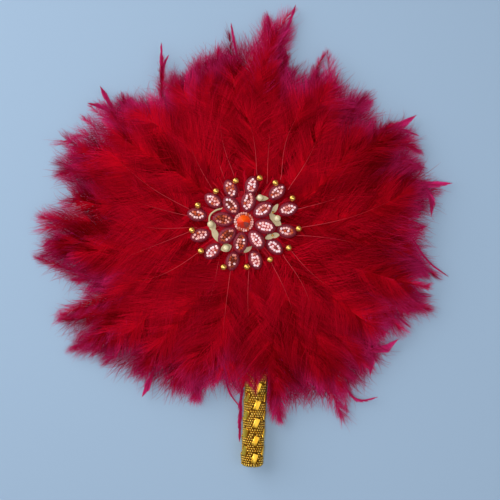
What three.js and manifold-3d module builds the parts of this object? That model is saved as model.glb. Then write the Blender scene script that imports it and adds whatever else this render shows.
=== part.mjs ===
import * as THREE from "three";
import { mergeVertices } from "three/addons/utils/BufferGeometryUtils.js";
import Module from "manifold-3d";

// A round hand fan of dyed plumes, with a sewn brooch at its centre and a handle in jewelled mesh.
// Millimetres. The fan lies on its back: the underside of the back cover is z = 0, +Z comes out of
// the front, the handle points along -Y and the origin is on the axis of the two base discs.
// Bearings are degrees clockwise from +Y, seen from the front.

// Clearance between pieces that touch.
const SEAT_GAP = 0.3;

// Base: two card discs with the tongue of the handle between them, and a felt cover at the back.
const COVER_RADIUS = 52;
const COVER_THICKNESS = 2.6;
const BASE_RADIUS = 70;
const BASE_THICKNESS = 1.6;

// Handle. It was set by eye: it leans a little and its line passes beside the middle of the discs.
const HANDLE_LEAN = 2.8;
const HANDLE_SHIFT = 9.7;
const DOWEL_DIAMETER = 15;
const TONGUE_THICKNESS = 6;
const TONGUE_WIDTH = 12.5;
const TONGUE_REACH = 45;
const WRAP_THICKNESS = 1.7;
const HANDLE_LENGTH = 97;
const END_CAP_DEPTH = 3.6;

// Gold bars of the mesh on the handle, in upright columns that lean with the weave.
const BAR_WIDTH = 4.8;
const BAR_LENGTH = 8.6;
const BAR_RISE = 0.4;
const BAR_COLUMNS = 6;
const BAR_ROWS = 6;
const BAR_LEAN = 18;
const BAR_TURN = 12;

// Plumes: a front ring on the front disc and a back ring under the back disc.
const PLUMES_PER_RING = 12;
const PLUME_REACH = 170;
const FRONT_SHARES = [0.99, 0.93, 0.97, 0.89, 0.95, 0.99, 0.88, 0.95, 1.05, 1.1, 1.01, 0.95];
const BACK_SHARES = [0.92, 1.06, 1.1, 1.06, 1, 0.94, 1.1, 0.88, 0.99, 0.95, 0.94, 1];
const QUILL_DIAMETER = 2.4;
const TIP_DIAMETER = 0.8;
const ROOT_RADIUS = 24;
const VANE_START = 40;
const WEDGE_SHARE = 0.95;
const VANE_OPENING = 0.2;
const VANE_TAPER = 5;
const CLEFT_SHARE = 0.88;
const VANE_STATIONS = 15;
const CROWN_RUN = 12;
const CREST_RUN = 40;
const CLEAR_OF_HANDLE = 5;
const FRONT_TIP_FALL = 11;
const OVER_HANDLE_FALL = 2.5;
const FRONT_DROOP = 0.12;
const BACK_DISH = 0.08;

// Brooch, sewn on a little to the upper left of the middle. Its stones were placed by eye, so each
// has its own bearing, and its reach is a share of its ring.
const BROOCH_X = -7.5;
const BROOCH_Y = 7.5;
const BACKING_THICKNESS = 2;
const BACKING_INSET = 1.5;
const LEAF_THICKNESS = 0.8;
const LEAF_BEARINGS = [34, 61, 84, 115, 178, 214, 240, 266, 292];
const LEAF_SHARE = 0.75;
const LEAF_SPREAD = 6;
const CENTRE_DIAMETER = 16.8;
const SETTING_WIDTH = 2;
const SETTING_HEIGHT = 2.4;
const CENTRE_HEIGHT = 4.6;
const INNER_LENGTH = 17.8;
const INNER_WIDTH = 11.6;
const INNER_HEIGHT = 4.2;
const INNER_RING = 18.6;
const INNER_BEARINGS = [13, 58, 102, 145, 189, 231, 277, 323];
const INNER_SHARES = [0.97, 1.05, 1.02, 1.01, 0.97, 1, 0.96, 0.96];
const OUTER_LENGTH = 16.6;
const OUTER_WIDTH = 10.6;
const OUTER_HEIGHT = 3.6;
const OUTER_RING = 40;
const OUTER_BEARINGS = [12, 48, 74, 102, 129, 163, 196, 227, 253, 279, 305, 338];
const OUTER_SHARES = [0.8, 0.97, 1, 0.95, 0.86, 0.86, 0.88, 0.93, 0.99, 1.03, 0.81, 0.77];
const PEARL_DIAMETER = 6;
const PEARL_BEARINGS = [34, 84, 214, 266];
const PEARL_SHARES = [0.63, 0.73, 0.68, 0.68];
const BEAD_DIAMETER = 6;
const BEAD_BEARINGS = [349, 20, 39, 64, 97, 120, 145, 176, 204, 236, 261, 290, 318];
const BEAD_SHARES = [0.9, 1.01, 1.08, 1.17, 1.2, 1.12, 0.99, 0.97, 1.07, 1.12, 1.13, 1.05, 0.89];
const THREAD_DIAMETER = 0.8;
const OVAL_STRETCH = 6;
const SLIDE_STEP = 0.25;

// Facets of the round pieces.
const DISC_SIDES = 48;
const HANDLE_SIDES = 28;
const STONE_SIDES = 14;
const SETTING_SIDES = 24;
const BEAD_SIDES = 8;
const BEAD_RINGS = 6;
const THREAD_SIDES = 4;
const THREAD_STEPS = 52;
const LEAF_STEPS = 4;

const numbered = (stem, i) => `${stem}_${String(i + 1).padStart(2, "0")}`;
const radians = THREE.MathUtils.degToRad;
const ease = THREE.MathUtils.smoothstep;
const polar = (radius, turn) => [radius * Math.sin(turn), radius * Math.cos(turn)];

// Heights of the stack, from the table up.
const quillRadius = QUILL_DIAMETER / 2;
const backQuillZ = COVER_THICKNESS + SEAT_GAP + quillRadius;
const backDiscZ = backQuillZ + quillRadius + SEAT_GAP;
const tongueZ = backDiscZ + BASE_THICKNESS + SEAT_GAP;
const axisZ = tongueZ + TONGUE_THICKNESS / 2;
const frontDiscZ = tongueZ + TONGUE_THICKNESS + SEAT_GAP;
const frontQuillZ = frontDiscZ + BASE_THICKNESS + SEAT_GAP + quillRadius;
const backingZ = frontQuillZ + quillRadius + SEAT_GAP;
const leafZ = backingZ + BACKING_THICKNESS + SEAT_GAP;
const padZ = leafZ + LEAF_THICKNESS + SEAT_GAP;
const innerZ = leafZ + OUTER_HEIGHT + SEAT_GAP;
const padThickness = innerZ - SEAT_GAP - padZ;

// Handle radii, and where along it the round part begins and ends.
const dowelRadius = DOWEL_DIAMETER / 2;
const wrapBore = dowelRadius + SEAT_GAP;
const wrapRadius = wrapBore + WRAP_THICKNESS;
const barTop = wrapRadius + BAR_RISE;
const barLean = radians(BAR_LEAN);
const barSpread = (BAR_WIDTH * Math.cos(barLean) + BAR_LENGTH * Math.sin(barLean)) / 2;
const barCorner = Math.hypot(barTop, barSpread);
const crownRadius = BASE_RADIUS + CROWN_RUN;
const crestRadius = BASE_RADIUS + CREST_RUN;
const handleLean = radians(HANDLE_LEAN);
const handleAside = HANDLE_SHIFT - crestRadius * Math.sin(handleLean);
const handleEnd = crestRadius + HANDLE_LENGTH;
const dowelEnd = handleEnd - END_CAP_DEPTH - SEAT_GAP;

// Brooch: a ring of stones lies no closer to the centre than its tightest pair allows.
const tightestTurn = (bearings) =>
  Math.min(...bearings.map((b, i) => (bearings[(i + 1) % bearings.length] - b + 360) % 360));
const clearRing = (bearings, length, width) =>
  Math.hypot(length / 2, (width + SEAT_GAP) / 2 / Math.tan(radians(tightestTurn(bearings)) / 2));
const innerFloor = Math.max(
  (CENTRE_DIAMETER + INNER_LENGTH) / 2 + SEAT_GAP,
  clearRing(INNER_BEARINGS, INNER_LENGTH, INNER_WIDTH),
);
const outerFloor = clearRing(OUTER_BEARINGS, OUTER_LENGTH, OUTER_WIDTH);
const ringOf = (bearings, shares, ring, floor, length, width) =>
  bearings.map((bearing, i) => ({
    turn: radians(bearing),
    reach: Math.max(ring * shares[i], floor),
    length,
    width,
  }));
const innerStones = ringOf(
  INNER_BEARINGS,
  INNER_SHARES,
  INNER_RING,
  innerFloor,
  INNER_LENGTH,
  INNER_WIDTH,
);
const outerStones = ringOf(
  OUTER_BEARINGS,
  OUTER_SHARES,
  OUTER_RING,
  outerFloor,
  OUTER_LENGTH,
  OUTER_WIDTH,
);
const padRadius = Math.min(...outerStones.map((s) => s.reach)) - OUTER_LENGTH / 2 - SEAT_GAP;
const leafReach = OUTER_RING * LEAF_SHARE;

// A ball starts at its own reach and slides out along its bearing until no stone touches it.
const touches = (stone, turn, reach, margin) => {
  const along = reach * Math.cos(turn - stone.turn) - stone.reach;
  const aside = reach * Math.sin(turn - stone.turn);
  return Math.hypot(along / (stone.length / 2 + margin), aside / (stone.width / 2 + margin)) < 1;
};
const slideOut = (bearing, share, diameter) => {
  const turn = radians(bearing);
  const margin = diameter / 2 + SEAT_GAP * 2;
  let reach = OUTER_RING * share;
  while ([...innerStones, ...outerStones].some((stone) => touches(stone, turn, reach, margin))) {
    reach += SLIDE_STEP;
  }
  return { turn, reach };
};
const pearls = PEARL_BEARINGS.map((b, i) => slideOut(b, PEARL_SHARES[i], PEARL_DIAMETER));
const beads = BEAD_BEARINGS.map((b, i) => slideOut(b, BEAD_SHARES[i], BEAD_DIAMETER));

// The thread of the beads runs in an oval outside the tips of all the stones.
const outsideOval = (half, stone) => {
  const [x, y] = polar(stone.reach + stone.length / 2 + SEAT_GAP + THREAD_DIAMETER / 2, stone.turn);
  return Math.hypot(x / (half + OVAL_STRETCH), y / half) > 1;
};
let threadRing = OUTER_RING;
while (outerStones.some((stone) => outsideOval(threadRing, stone))) {
  threadRing += SLIDE_STEP;
}
const broochReach = Math.hypot(BROOCH_X, BROOCH_Y) + threadRing + OVAL_STRETCH + BEAD_DIAMETER / 2;

const manifold = await Module();
manifold.setup();

const weld = (geometry) => {
  const bare = new THREE.BufferGeometry();
  bare.setAttribute("position", geometry.getAttribute("position"));
  bare.setIndex(geometry.getIndex());
  const merged = mergeVertices(bare, 1e-4);
  const index = Array.from(merged.getIndex().array);
  const kept = [];
  for (let i = 0; i < index.length; i += 3) {
    const [a, b, c] = index.slice(i, i + 3);
    if (a !== b && b !== c && c !== a) {
      kept.push(a, b, c);
    }
  }
  merged.setIndex(kept);
  return merged;
};

const toSolid = (geometry) => {
  const welded = weld(geometry);
  return new manifold.Manifold(
    new manifold.Mesh({
      numProp: 3,
      vertProperties: welded.getAttribute("position").array,
      triVerts: new Uint32Array(welded.getIndex().array),
    }),
  );
};

const join = (geometries) => {
  const mesh = manifold.Manifold.union(geometries.map(toSolid)).getMesh();
  const joined = new THREE.BufferGeometry();
  joined.setAttribute("position", new THREE.Float32BufferAttribute(mesh.vertProperties, 3));
  joined.setIndex(Array.from(mesh.triVerts));
  return joined;
};

const group = new THREE.Group();

const add = (name, geometry, color, finish = {}) => {
  const material = new THREE.MeshStandardMaterial({ color, roughness: 0.7, ...finish });
  const mesh = new THREE.Mesh(weld(geometry), material);
  mesh.name = name;
  group.add(mesh);
};

// A closed skin over rings of points that run from the root to the tip.
const loft = (rings) => {
  const around = rings[0].length;
  const last = (rings.length - 1) * around;
  const faces = [];
  for (let r = 0; r < rings.length - 1; r += 1) {
    for (let i = 0; i < around; i += 1) {
      const a = r * around + i;
      const b = r * around + ((i + 1) % around);
      faces.push(a, b, a + around, b, b + around, a + around);
    }
  }
  for (let i = 1; i < around - 1; i += 1) {
    faces.push(0, i + 1, i, last, last + i, last + i + 1);
  }
  const skin = new THREE.BufferGeometry().setFromPoints(rings.flat());
  skin.setIndex(faces);
  return skin;
};

// One plume: a square quill that opens into a ridged vane with clefts along both edges.
// The path gives the height of the spine and the rise of the vane's edges at a radius.
const plume = (bearing, reach, halfWedge, path) => {
  const along = new THREE.Vector3(Math.sin(bearing), Math.cos(bearing), 0);
  const across = new THREE.Vector3(Math.cos(bearing), -Math.sin(bearing), 0);
  const up = new THREE.Vector3(0, 0, 1);
  const section = (radius, half, thick) => {
    const { height, edgeRise } = path(radius, thick, reach);
    const spine = along.clone().multiplyScalar(radius).addScaledVector(up, height);
    const edge = (side) =>
      spine.clone().addScaledVector(across, side * half).addScaledVector(up, edgeRise * half);
    const ridge = (side) => spine.clone().addScaledVector(up, side * thick);
    return [ridge(1), edge(1), ridge(-1), edge(-1)];
  };
  const rings = [section(ROOT_RADIUS, quillRadius, quillRadius)];
  for (let i = 0; i <= VANE_STATIONS; i += 1) {
    const t = i / VANE_STATIONS;
    const radius = VANE_START + (reach - VANE_START) * t;
    const thick = THREE.MathUtils.lerp(QUILL_DIAMETER, TIP_DIAMETER, t) / 2;
    const cleft = i % 2 === 0 ? CLEFT_SHARE : 1;
    const room = radius * Math.tan(halfWedge) * WEDGE_SHARE;
    const fullness = ease(t, 0, VANE_OPENING) * (1 - t ** VANE_TAPER) * cleft;
    rings.push(section(radius, THREE.MathUtils.lerp(thick, room, fullness), thick));
  }
  return loft(rings);
};

// Front plumes lie flat under the brooch, swell to a crown round it that clears the handle, and then
// fall to their tips. The plume over the handle falls less, because it lies on the grip.
const handleTop = axisZ + barCorner;
const crestZ = handleTop + CLEAR_OF_HANDLE;
const frontPath = (tipFall) => (radius, thick, reach) => {
  const lift = ease(radius, broochReach, crownRadius);
  const fall = ease(radius, crestRadius, reach);
  return {
    height: frontQuillZ + (crestZ - frontQuillZ) * lift - tipFall * fall,
    edgeRise: -FRONT_DROOP * lift,
  };
};

// Back plumes leave the edge of the cover and come down until their ridges lie on the table.
const backPath = (radius, thick) => {
  const fall = ease(radius, COVER_RADIUS, crestRadius);
  return {
    height: THREE.MathUtils.lerp(backQuillZ, thick, fall),
    edgeRise: BACK_DISH * fall,
  };
};

const RED = 0xa3061a;
const DEEP_RED = 0x86040f;
const GOLD = 0xc8932f;
const PLUM = 0x5d1226;
const CHAMPAGNE = 0xb9aa80;
const SHINY = { roughness: 0.25, metalness: 0.9 };

// Back cover and the two discs.
const disc = (radius, z, thickness) =>
  new THREE.CylinderGeometry(radius, radius, thickness, DISC_SIDES)
    .rotateX(Math.PI / 2)
    .translate(0, 0, z + thickness / 2);

add("back_cover", disc(COVER_RADIUS, 0, COVER_THICKNESS), DEEP_RED, { roughness: 0.95 });
add("back_base_disc", disc(BASE_RADIUS, backDiscZ, BASE_THICKNESS), DEEP_RED);
add("front_base_disc", disc(BASE_RADIUS, frontDiscZ, BASE_THICKNESS), DEEP_RED);

// Handle pieces are made along -Y and then turned onto the handle's own line.
const onHandle = (geometry) => geometry.rotateZ(-handleLean).translate(HANDLE_SHIFT, 0, 0);

// Dowel with a flat tongue that runs between the discs.
const tongueLength = TONGUE_REACH + crestRadius + dowelRadius;
add(
  "handle_dowel",
  onHandle(
    join([
      new THREE.CylinderGeometry(dowelRadius, dowelRadius, dowelEnd - crestRadius, HANDLE_SIDES)
        .translate(0, -(dowelEnd + crestRadius) / 2, axisZ),
      new THREE.BoxGeometry(TONGUE_WIDTH, tongueLength, TONGUE_THICKNESS)
        .translate(0, TONGUE_REACH - tongueLength / 2, axisZ),
    ]),
  ),
  0xb98f5e,
);

// Sleeve of jewelled mesh, with its bars set into it, and a round of the same mesh over the end.
const sleeveLength = dowelEnd - crestRadius;
const sleeve = new THREE.LatheGeometry(
  [
    new THREE.Vector2(wrapBore, 0),
    new THREE.Vector2(wrapRadius, 0),
    new THREE.Vector2(wrapRadius, sleeveLength),
    new THREE.Vector2(wrapBore, sleeveLength),
    new THREE.Vector2(wrapBore, 0),
  ],
  HANDLE_SIDES,
).translate(0, -dowelEnd, axisZ);
const barPitch = sleeveLength / BAR_ROWS;
const barDepth = WRAP_THICKNESS / 2 + BAR_RISE;
const bars = [];
for (let column = 0; column < BAR_COLUMNS; column += 1) {
  for (let row = 0; row < BAR_ROWS; row += 1) {
    const stagger = column % 2 === 0 ? 0.3 : 0.7;
    const turn = radians((360 / BAR_COLUMNS) * column + BAR_TURN);
    bars.push(
      new THREE.BoxGeometry(BAR_WIDTH, BAR_LENGTH, barDepth)
        .rotateZ(-barLean)
        .translate(0, 0, barTop - barDepth / 2)
        .rotateY(turn)
        .translate(0, barPitch * (row + stagger) - dowelEnd, axisZ),
    );
  }
}
add("handle_wrap", onHandle(join([sleeve, ...bars])), GOLD, SHINY);

const capProfile = [
  new THREE.Vector2(0, 0),
  new THREE.Vector2(wrapRadius * 0.7, END_CAP_DEPTH * 0.25),
  new THREE.Vector2(wrapRadius, END_CAP_DEPTH),
  new THREE.Vector2(0, END_CAP_DEPTH),
];
add(
  "handle_end_cap",
  onHandle(new THREE.LatheGeometry(capProfile, HANDLE_SIDES).translate(0, -handleEnd, axisZ)),
  GOLD,
  SHINY,
);

// Rings of plumes. The back ring leaves a space for the handle.
const handleSpace = Math.asin((barCorner + SEAT_GAP + Math.abs(handleAside)) / crestRadius);
const frontPitch = (2 * Math.PI) / PLUMES_PER_RING;
const backPitch = (2 * Math.PI - 2 * handleSpace) / PLUMES_PER_RING;
for (let i = 0; i < PLUMES_PER_RING; i += 1) {
  const frontReach = PLUME_REACH * FRONT_SHARES[i % FRONT_SHARES.length];
  const backReach = PLUME_REACH * BACK_SHARES[i % BACK_SHARES.length];
  const frontBearing = frontPitch * i;
  const backBearing = Math.PI + handleSpace + backPitch * (i + 0.5);
  const fromHandle = Math.abs(frontBearing - Math.PI);
  const tipFall = fromHandle < frontPitch / 2 + handleSpace ? OVER_HANDLE_FALL : FRONT_TIP_FALL;
  add(
    numbered("front_plume", i),
    plume(frontBearing, frontReach, frontPitch / 2, frontPath(tipFall)),
    RED,
  );
  add(
    numbered("back_plume", i),
    plume(backBearing, backReach, backPitch / 2, backPath),
    DEEP_RED,
  );
}

// Brooch pieces stand on the felt backing, around the brooch's own centre.
const onBrooch = (geometry, x, y, z) => geometry.translate(BROOCH_X + x, BROOCH_Y + y, z);

const backingHalf = threadRing - BACKING_INSET;
const backingShape = new THREE.Shape();
backingShape.absellipse(0, 0, backingHalf + OVAL_STRETCH, backingHalf, 0, 2 * Math.PI);
add(
  "brooch_backing",
  onBrooch(
    new THREE.ExtrudeGeometry(backingShape, {
      depth: BACKING_THICKNESS,
      bevelEnabled: false,
      curveSegments: DISC_SIDES / 2,
    }),
    0,
    0,
    backingZ,
  ),
  RED,
  { roughness: 0.95 },
);

// Leaf layer: a star whose points show in the spaces between the stones.
const leafShape = new THREE.Shape();
const leafWaist = padRadius - BACKING_INSET;
const leafTurns = LEAF_BEARINGS.map(radians);
const spaceAfter = (i) => {
  const next = leafTurns[(i + 1) % leafTurns.length];
  return (next - leafTurns[i] + 2 * Math.PI) % (2 * Math.PI);
};
leafShape.moveTo(...polar(leafWaist, leafTurns[0] - spaceAfter(leafTurns.length - 1) / 2));
leafTurns.forEach((turn, i) => {
  leafShape.quadraticCurveTo(
    ...polar(leafWaist, turn - radians(LEAF_SPREAD)),
    ...polar(leafReach, turn),
  );
  leafShape.quadraticCurveTo(
    ...polar(leafWaist, turn + radians(LEAF_SPREAD)),
    ...polar(leafWaist, turn + spaceAfter(i) / 2),
  );
});
add(
  "leaf_layer",
  onBrooch(
    new THREE.ExtrudeGeometry(leafShape, {
      depth: LEAF_THICKNESS,
      bevelEnabled: false,
      curveSegments: LEAF_STEPS,
    }),
    0,
    0,
    leafZ,
  ),
  CHAMPAGNE,
  { roughness: 0.45, metalness: 0.3 },
);

// Felt pad that lifts the inner stones over the ends of the outer ones.
add(
  "brooch_pad",
  onBrooch(disc(padRadius, padZ, padThickness), 0, 0, 0),
  RED,
  { roughness: 0.95 },
);

// A domed oval stone that is long along its bearing.
const domedStone = (length, width, height) =>
  new THREE.LatheGeometry(
    [
      new THREE.Vector2(0, 0),
      new THREE.Vector2(0.92, 0),
      new THREE.Vector2(1, height * 0.3),
      new THREE.Vector2(0.82, height * 0.72),
      new THREE.Vector2(0.45, height * 0.96),
      new THREE.Vector2(0, height),
    ],
    STONE_SIDES,
  )
    .rotateX(Math.PI / 2)
    .scale(width / 2, length / 2, 1);

const addStones = (stem, stones, height, z) =>
  stones.forEach(({ turn, reach, length, width }, i) => {
    const stone = domedStone(length, width, height).rotateZ(-turn);
    add(numbered(stem, i), onBrooch(stone, ...polar(reach, turn), z), PLUM, { roughness: 0.4 });
  });
addStones("inner_navette", innerStones, INNER_HEIGHT, innerZ);
addStones("outer_navette", outerStones, OUTER_HEIGHT, leafZ);

// Centre: a faceted round stone in a beaded ring.
const settingShape = new THREE.Shape();
settingShape.absarc(0, 0, CENTRE_DIAMETER / 2, 0, 2 * Math.PI);
const settingHole = new THREE.Path();
settingHole.absarc(0, 0, CENTRE_DIAMETER / 2 - SETTING_WIDTH, 0, 2 * Math.PI, true);
settingShape.holes.push(settingHole);
add(
  "centre_setting",
  onBrooch(
    new THREE.ExtrudeGeometry(settingShape, {
      depth: SETTING_HEIGHT,
      bevelEnabled: false,
      curveSegments: SETTING_SIDES / 2,
    }),
    0,
    0,
    innerZ,
  ),
  0xd98c7c,
  { roughness: 0.2 },
);
const stoneRadius = CENTRE_DIAMETER / 2 - SETTING_WIDTH - SEAT_GAP;
add(
  "centre_stone",
  onBrooch(
    new THREE.LatheGeometry(
      [
        new THREE.Vector2(0, 0),
        new THREE.Vector2(stoneRadius, 0),
        new THREE.Vector2(stoneRadius, CENTRE_HEIGHT / 2),
        new THREE.Vector2(stoneRadius * 0.5, CENTRE_HEIGHT * 0.85),
        new THREE.Vector2(0, CENTRE_HEIGHT),
      ],
      STONE_SIDES,
    ).rotateX(Math.PI / 2),
    0,
    0,
    innerZ,
  ),
  0xe8430f,
  { roughness: 0.1 },
);

// Pearls sit on the points of some of the leaves.
const ball = (diameter) =>
  new THREE.SphereGeometry(diameter / 2, BEAD_SIDES, BEAD_RINGS).rotateX(Math.PI / 2);
pearls.forEach(({ turn, reach }, i) => {
  const pearl = onBrooch(ball(PEARL_DIAMETER), ...polar(reach, turn), padZ + PEARL_DIAMETER / 2);
  add(numbered("pearl", i), pearl, 0xcfc9a0, { roughness: 0.25 });
});

// Gold beads on a thread around the outside, each on a short tail of the thread.
const beadZ = leafZ + BEAD_DIAMETER / 2;
const strand = [
  new THREE.TorusGeometry(threadRing, THREAD_DIAMETER / 2, THREAD_SIDES, THREAD_STEPS).scale(
    (threadRing + OVAL_STRETCH) / threadRing,
    1,
    1,
  ),
];
beads.forEach(({ turn, reach }) => {
  const [x, y] = polar(1, turn);
  const ringReach = 1 / Math.hypot(x / (threadRing + OVAL_STRETCH), y / threadRing);
  const tail = Math.abs(ringReach - reach);
  strand.push(ball(BEAD_DIAMETER).translate(...polar(reach, turn), 0));
  strand.push(
    new THREE.BoxGeometry(THREAD_DIAMETER, tail, THREAD_DIAMETER)
      .rotateZ(-turn)
      .translate(...polar((ringReach + reach) / 2, turn), 0),
  );
});
add("gold_bead_strand", onBrooch(join(strand), 0, 0, beadZ), GOLD, SHINY);

export default group;
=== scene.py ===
# %% [markdown]
# # A round feather fan
#
# The real object is a hand fan of dyed down plumes. A jewelled brooch covers the roots of the
# plumes, and a dowel wrapped in gold mesh is the handle. It lies on its back, seen from above.
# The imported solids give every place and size, so they are loaded first and nothing is fitted by eye.

import math

import bpy
import numpy as np
from mathutils import Matrix, Vector


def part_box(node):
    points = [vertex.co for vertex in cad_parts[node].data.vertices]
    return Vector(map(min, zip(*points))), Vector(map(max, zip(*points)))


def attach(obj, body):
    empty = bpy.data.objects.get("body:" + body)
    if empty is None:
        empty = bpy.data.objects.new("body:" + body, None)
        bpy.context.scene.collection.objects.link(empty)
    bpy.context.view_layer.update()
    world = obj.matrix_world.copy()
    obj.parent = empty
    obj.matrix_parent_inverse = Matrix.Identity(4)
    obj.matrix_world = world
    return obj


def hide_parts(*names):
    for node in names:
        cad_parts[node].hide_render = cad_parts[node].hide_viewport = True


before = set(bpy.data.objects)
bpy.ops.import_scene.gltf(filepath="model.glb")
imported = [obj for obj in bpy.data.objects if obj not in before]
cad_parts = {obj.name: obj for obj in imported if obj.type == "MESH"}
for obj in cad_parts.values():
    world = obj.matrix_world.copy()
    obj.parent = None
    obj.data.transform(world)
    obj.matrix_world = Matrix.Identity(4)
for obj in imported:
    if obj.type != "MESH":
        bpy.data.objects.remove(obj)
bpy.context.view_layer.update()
MM = 0.001
rng = np.random.default_rng(20)

# %% [markdown]
# ## Finishes: shared helpers
#
# Every finish starts from the same shader, and only its sockets differ. Patterns are read from
# Object coordinates, so they stay on the piece, or from a map that the piece carries. The helpers
# below keep the material cells short: one makes the shader, one a node, one a colour ramp.


# %% Helpers for finishes
def finish(name, color, roughness, **sockets):
    material = bpy.data.materials.new(name)
    material.use_nodes = True
    shader = material.node_tree.nodes["Principled BSDF"]
    shader.inputs["Base Color"].default_value = (*color, 1)
    shader.inputs["Roughness"].default_value = roughness
    for socket, value in sockets.items():
        shader.inputs[socket.replace("_", " ")].default_value = value
    return material, material.node_tree, shader


def add_node(tree, kind, **settings):
    node = tree.nodes.new(kind)
    for key, value in settings.items():
        if key in node.inputs:
            node.inputs[key].default_value = value
        else:
            setattr(node, key, value)
    return node


def color_ramp(tree, factor, stops):
    ramp = add_node(tree, "ShaderNodeValToRGB")
    elements = ramp.color_ramp.elements
    while len(elements) < len(stops):
        elements.new(0.5)
    for element, (place, color) in zip(elements, stops):
        element.position = place
        element.color = (*color, 1)
    tree.links.new(factor, ramp.inputs["Fac"])
    return ramp.outputs["Color"]


def object_pattern(tree, kind, output, stretch=(1, 1, 1), **settings):
    """A texture on Object coordinates; stretch squeezes it along an axis."""
    place = add_node(tree, "ShaderNodeTexCoord")
    squeeze = add_node(tree, "ShaderNodeMapping")
    squeeze.inputs["Scale"].default_value = stretch
    texture = add_node(tree, kind, **settings)
    tree.links.new(place.outputs["Object"], squeeze.inputs["Vector"])
    tree.links.new(squeeze.outputs["Vector"], texture.inputs["Vector"])
    return texture.outputs[output]


def own_map(tree, name):
    """The two values of a map that the piece carries."""
    source = add_node(tree, "ShaderNodeUVMap", uv_map=name)
    split = add_node(tree, "ShaderNodeSeparateXYZ")
    tree.links.new(source.outputs["UV"], split.inputs["Vector"])
    return split.outputs["X"], split.outputs["Y"]


def bump(tree, shader, height, strength, distance):
    node = add_node(tree, "ShaderNodeBump", Strength=strength, Distance=distance)
    tree.links.new(height, node.inputs["Height"])
    tree.links.new(node.outputs["Normal"], shader.inputs["Normal"])


def color_from(tree, shader, output):
    tree.links.new(output, shader.inputs["Base Color"])


def color_by(tree, shader, factor, stops):
    """Colour a finish by a pattern that runs through a ramp."""
    color_from(tree, shader, color_ramp(tree, factor, stops))


# %% [markdown]
# ## Modelling: shared helpers
#
# Small round things grow from a filled circle: its cap is pushed up and spread or narrowed step by
# step, which is extrude and scale in edit mode. Things that repeat are modelled once, and every
# copy gets its own mesh with its place in it.

# %% Helpers for modelling
ORIGIN = (0, 0, 0)


def deselect():
    bpy.ops.object.select_all(action="DESELECT")


def open_mesh():
    bpy.ops.object.mode_set(mode="EDIT")
    bpy.ops.mesh.select_all(action="SELECT")


def close_mesh():
    bpy.ops.mesh.select_all(action="SELECT")
    bpy.ops.mesh.normals_make_consistent(inside=False)
    bpy.ops.object.mode_set(mode="OBJECT")


def raise_cap(up, spread):
    """Push the selected cap up by a height in mm, then scale it about the middle."""
    bpy.ops.mesh.extrude_region_move(TRANSFORM_OT_translate={"value": (0, 0, up * MM)})
    bpy.ops.transform.resize(value=(spread, spread, 1), center_override=ORIGIN)


def grow_cap(name, sides, half_width, half_length, steps, material):
    """A closed round form that grows from a filled circle; sizes in mm."""
    deselect()
    bpy.ops.mesh.primitive_circle_add(vertices=sides, radius=1, fill_type="NGON")
    piece = bpy.context.object
    piece.name = name
    open_mesh()
    bpy.ops.transform.resize(value=(half_width * MM, half_length * MM, 1), center_override=ORIGIN)
    for up, spread in steps:
        raise_cap(up, spread)
    close_mesh()
    piece.data.materials.append(material)
    return piece


def apply_modifier(piece, kind, **settings):
    modifier = piece.modifiers.new(kind, kind)
    for key, value in settings.items():
        setattr(modifier, key, value)
    bpy.context.view_layer.objects.active = piece
    bpy.ops.object.modifier_apply(modifier=modifier.name)


def round_off(piece, levels):
    apply_modifier(piece, "SUBSURF", levels=levels, render_levels=levels)
    piece.data.shade_smooth()


def thicken(curve, radius, steps, material):
    """Give a curve a round section in mm and turn it into a mesh."""
    curve.data.bevel_depth = radius * MM
    curve.data.bevel_resolution = steps
    curve.data.use_fill_caps = True
    curve.data.materials.append(material)
    bpy.ops.object.convert(target="MESH")
    piece = bpy.context.object
    piece.data.shade_smooth()
    return piece


def pick(piece, test):
    """Select the vertices whose place in mm passes a test."""
    bpy.ops.mesh.select_all(action="DESELECT")
    bpy.ops.object.mode_set(mode="OBJECT")
    for vertex in piece.data.vertices:
        vertex.select = bool(test(vertex.co / MM))
    bpy.ops.object.mode_set(mode="EDIT")


def stamp(master, place, tone=None):
    """A copy with its own mesh, its place in the mesh and, for jewels, its own tone."""
    copy = bpy.data.objects.new(master.name, master.data.copy())
    bpy.context.collection.objects.link(copy)
    copy.data.transform(place)
    if tone is not None:
        layer = copy.data.uv_layers.new(name="JewelTone")
        layer.data.foreach_set("uv", np.tile([tone, 0.5], len(copy.data.loops)))
    return copy


def join_as(name, parts, nodes=()):
    deselect()
    for part in parts:
        part.select_set(True)
    bpy.context.view_layer.objects.active = parts[0]
    if len(parts) > 1:
        bpy.ops.object.join()
    piece = bpy.context.object
    piece.name = piece.data.name = name
    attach(piece, "root")
    if nodes:
        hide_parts(*nodes)
    return piece


def discard(*masters):
    for master in masters:
        bpy.data.objects.remove(master)


def at(x, y, z, turn=0.0):
    """A place in mm, turned clockwise by a bearing in radians."""
    return Matrix.Translation(Vector((x, y, z)) * MM) @ Matrix.Rotation(-turn, 4, "Z")


def middle(node):
    low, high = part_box(node)
    return (low + high) / 2 / MM, low.z / MM, high.z / MM


# %% [markdown]
# ## Brooch: the finishes
#
# The oval jewels have a border of plum net, and are set with tiny ring beads that go from amber
# to pale pink. One ramp holds all those colours, and every bead carries its own place on it, so
# that neighbours differ as glass does. The centre stone uses the same idea for its facets.

# %% Finishes of the jewels
plum_net, tree, shader = finish("plum_net", (0.12, 0.008, 0.03), 0.45, Specular_IOR_Level=0.35)
cells = object_pattern(tree, "ShaderNodeTexVoronoi", "Distance", Scale=1300.0)
color_by(tree, shader, cells, [(0.1, (0.050, 0.002, 0.008)), (0.75, (0.34, 0.020, 0.050))])
bump(tree, shader, cells, 0.6, 0.0004)

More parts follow.
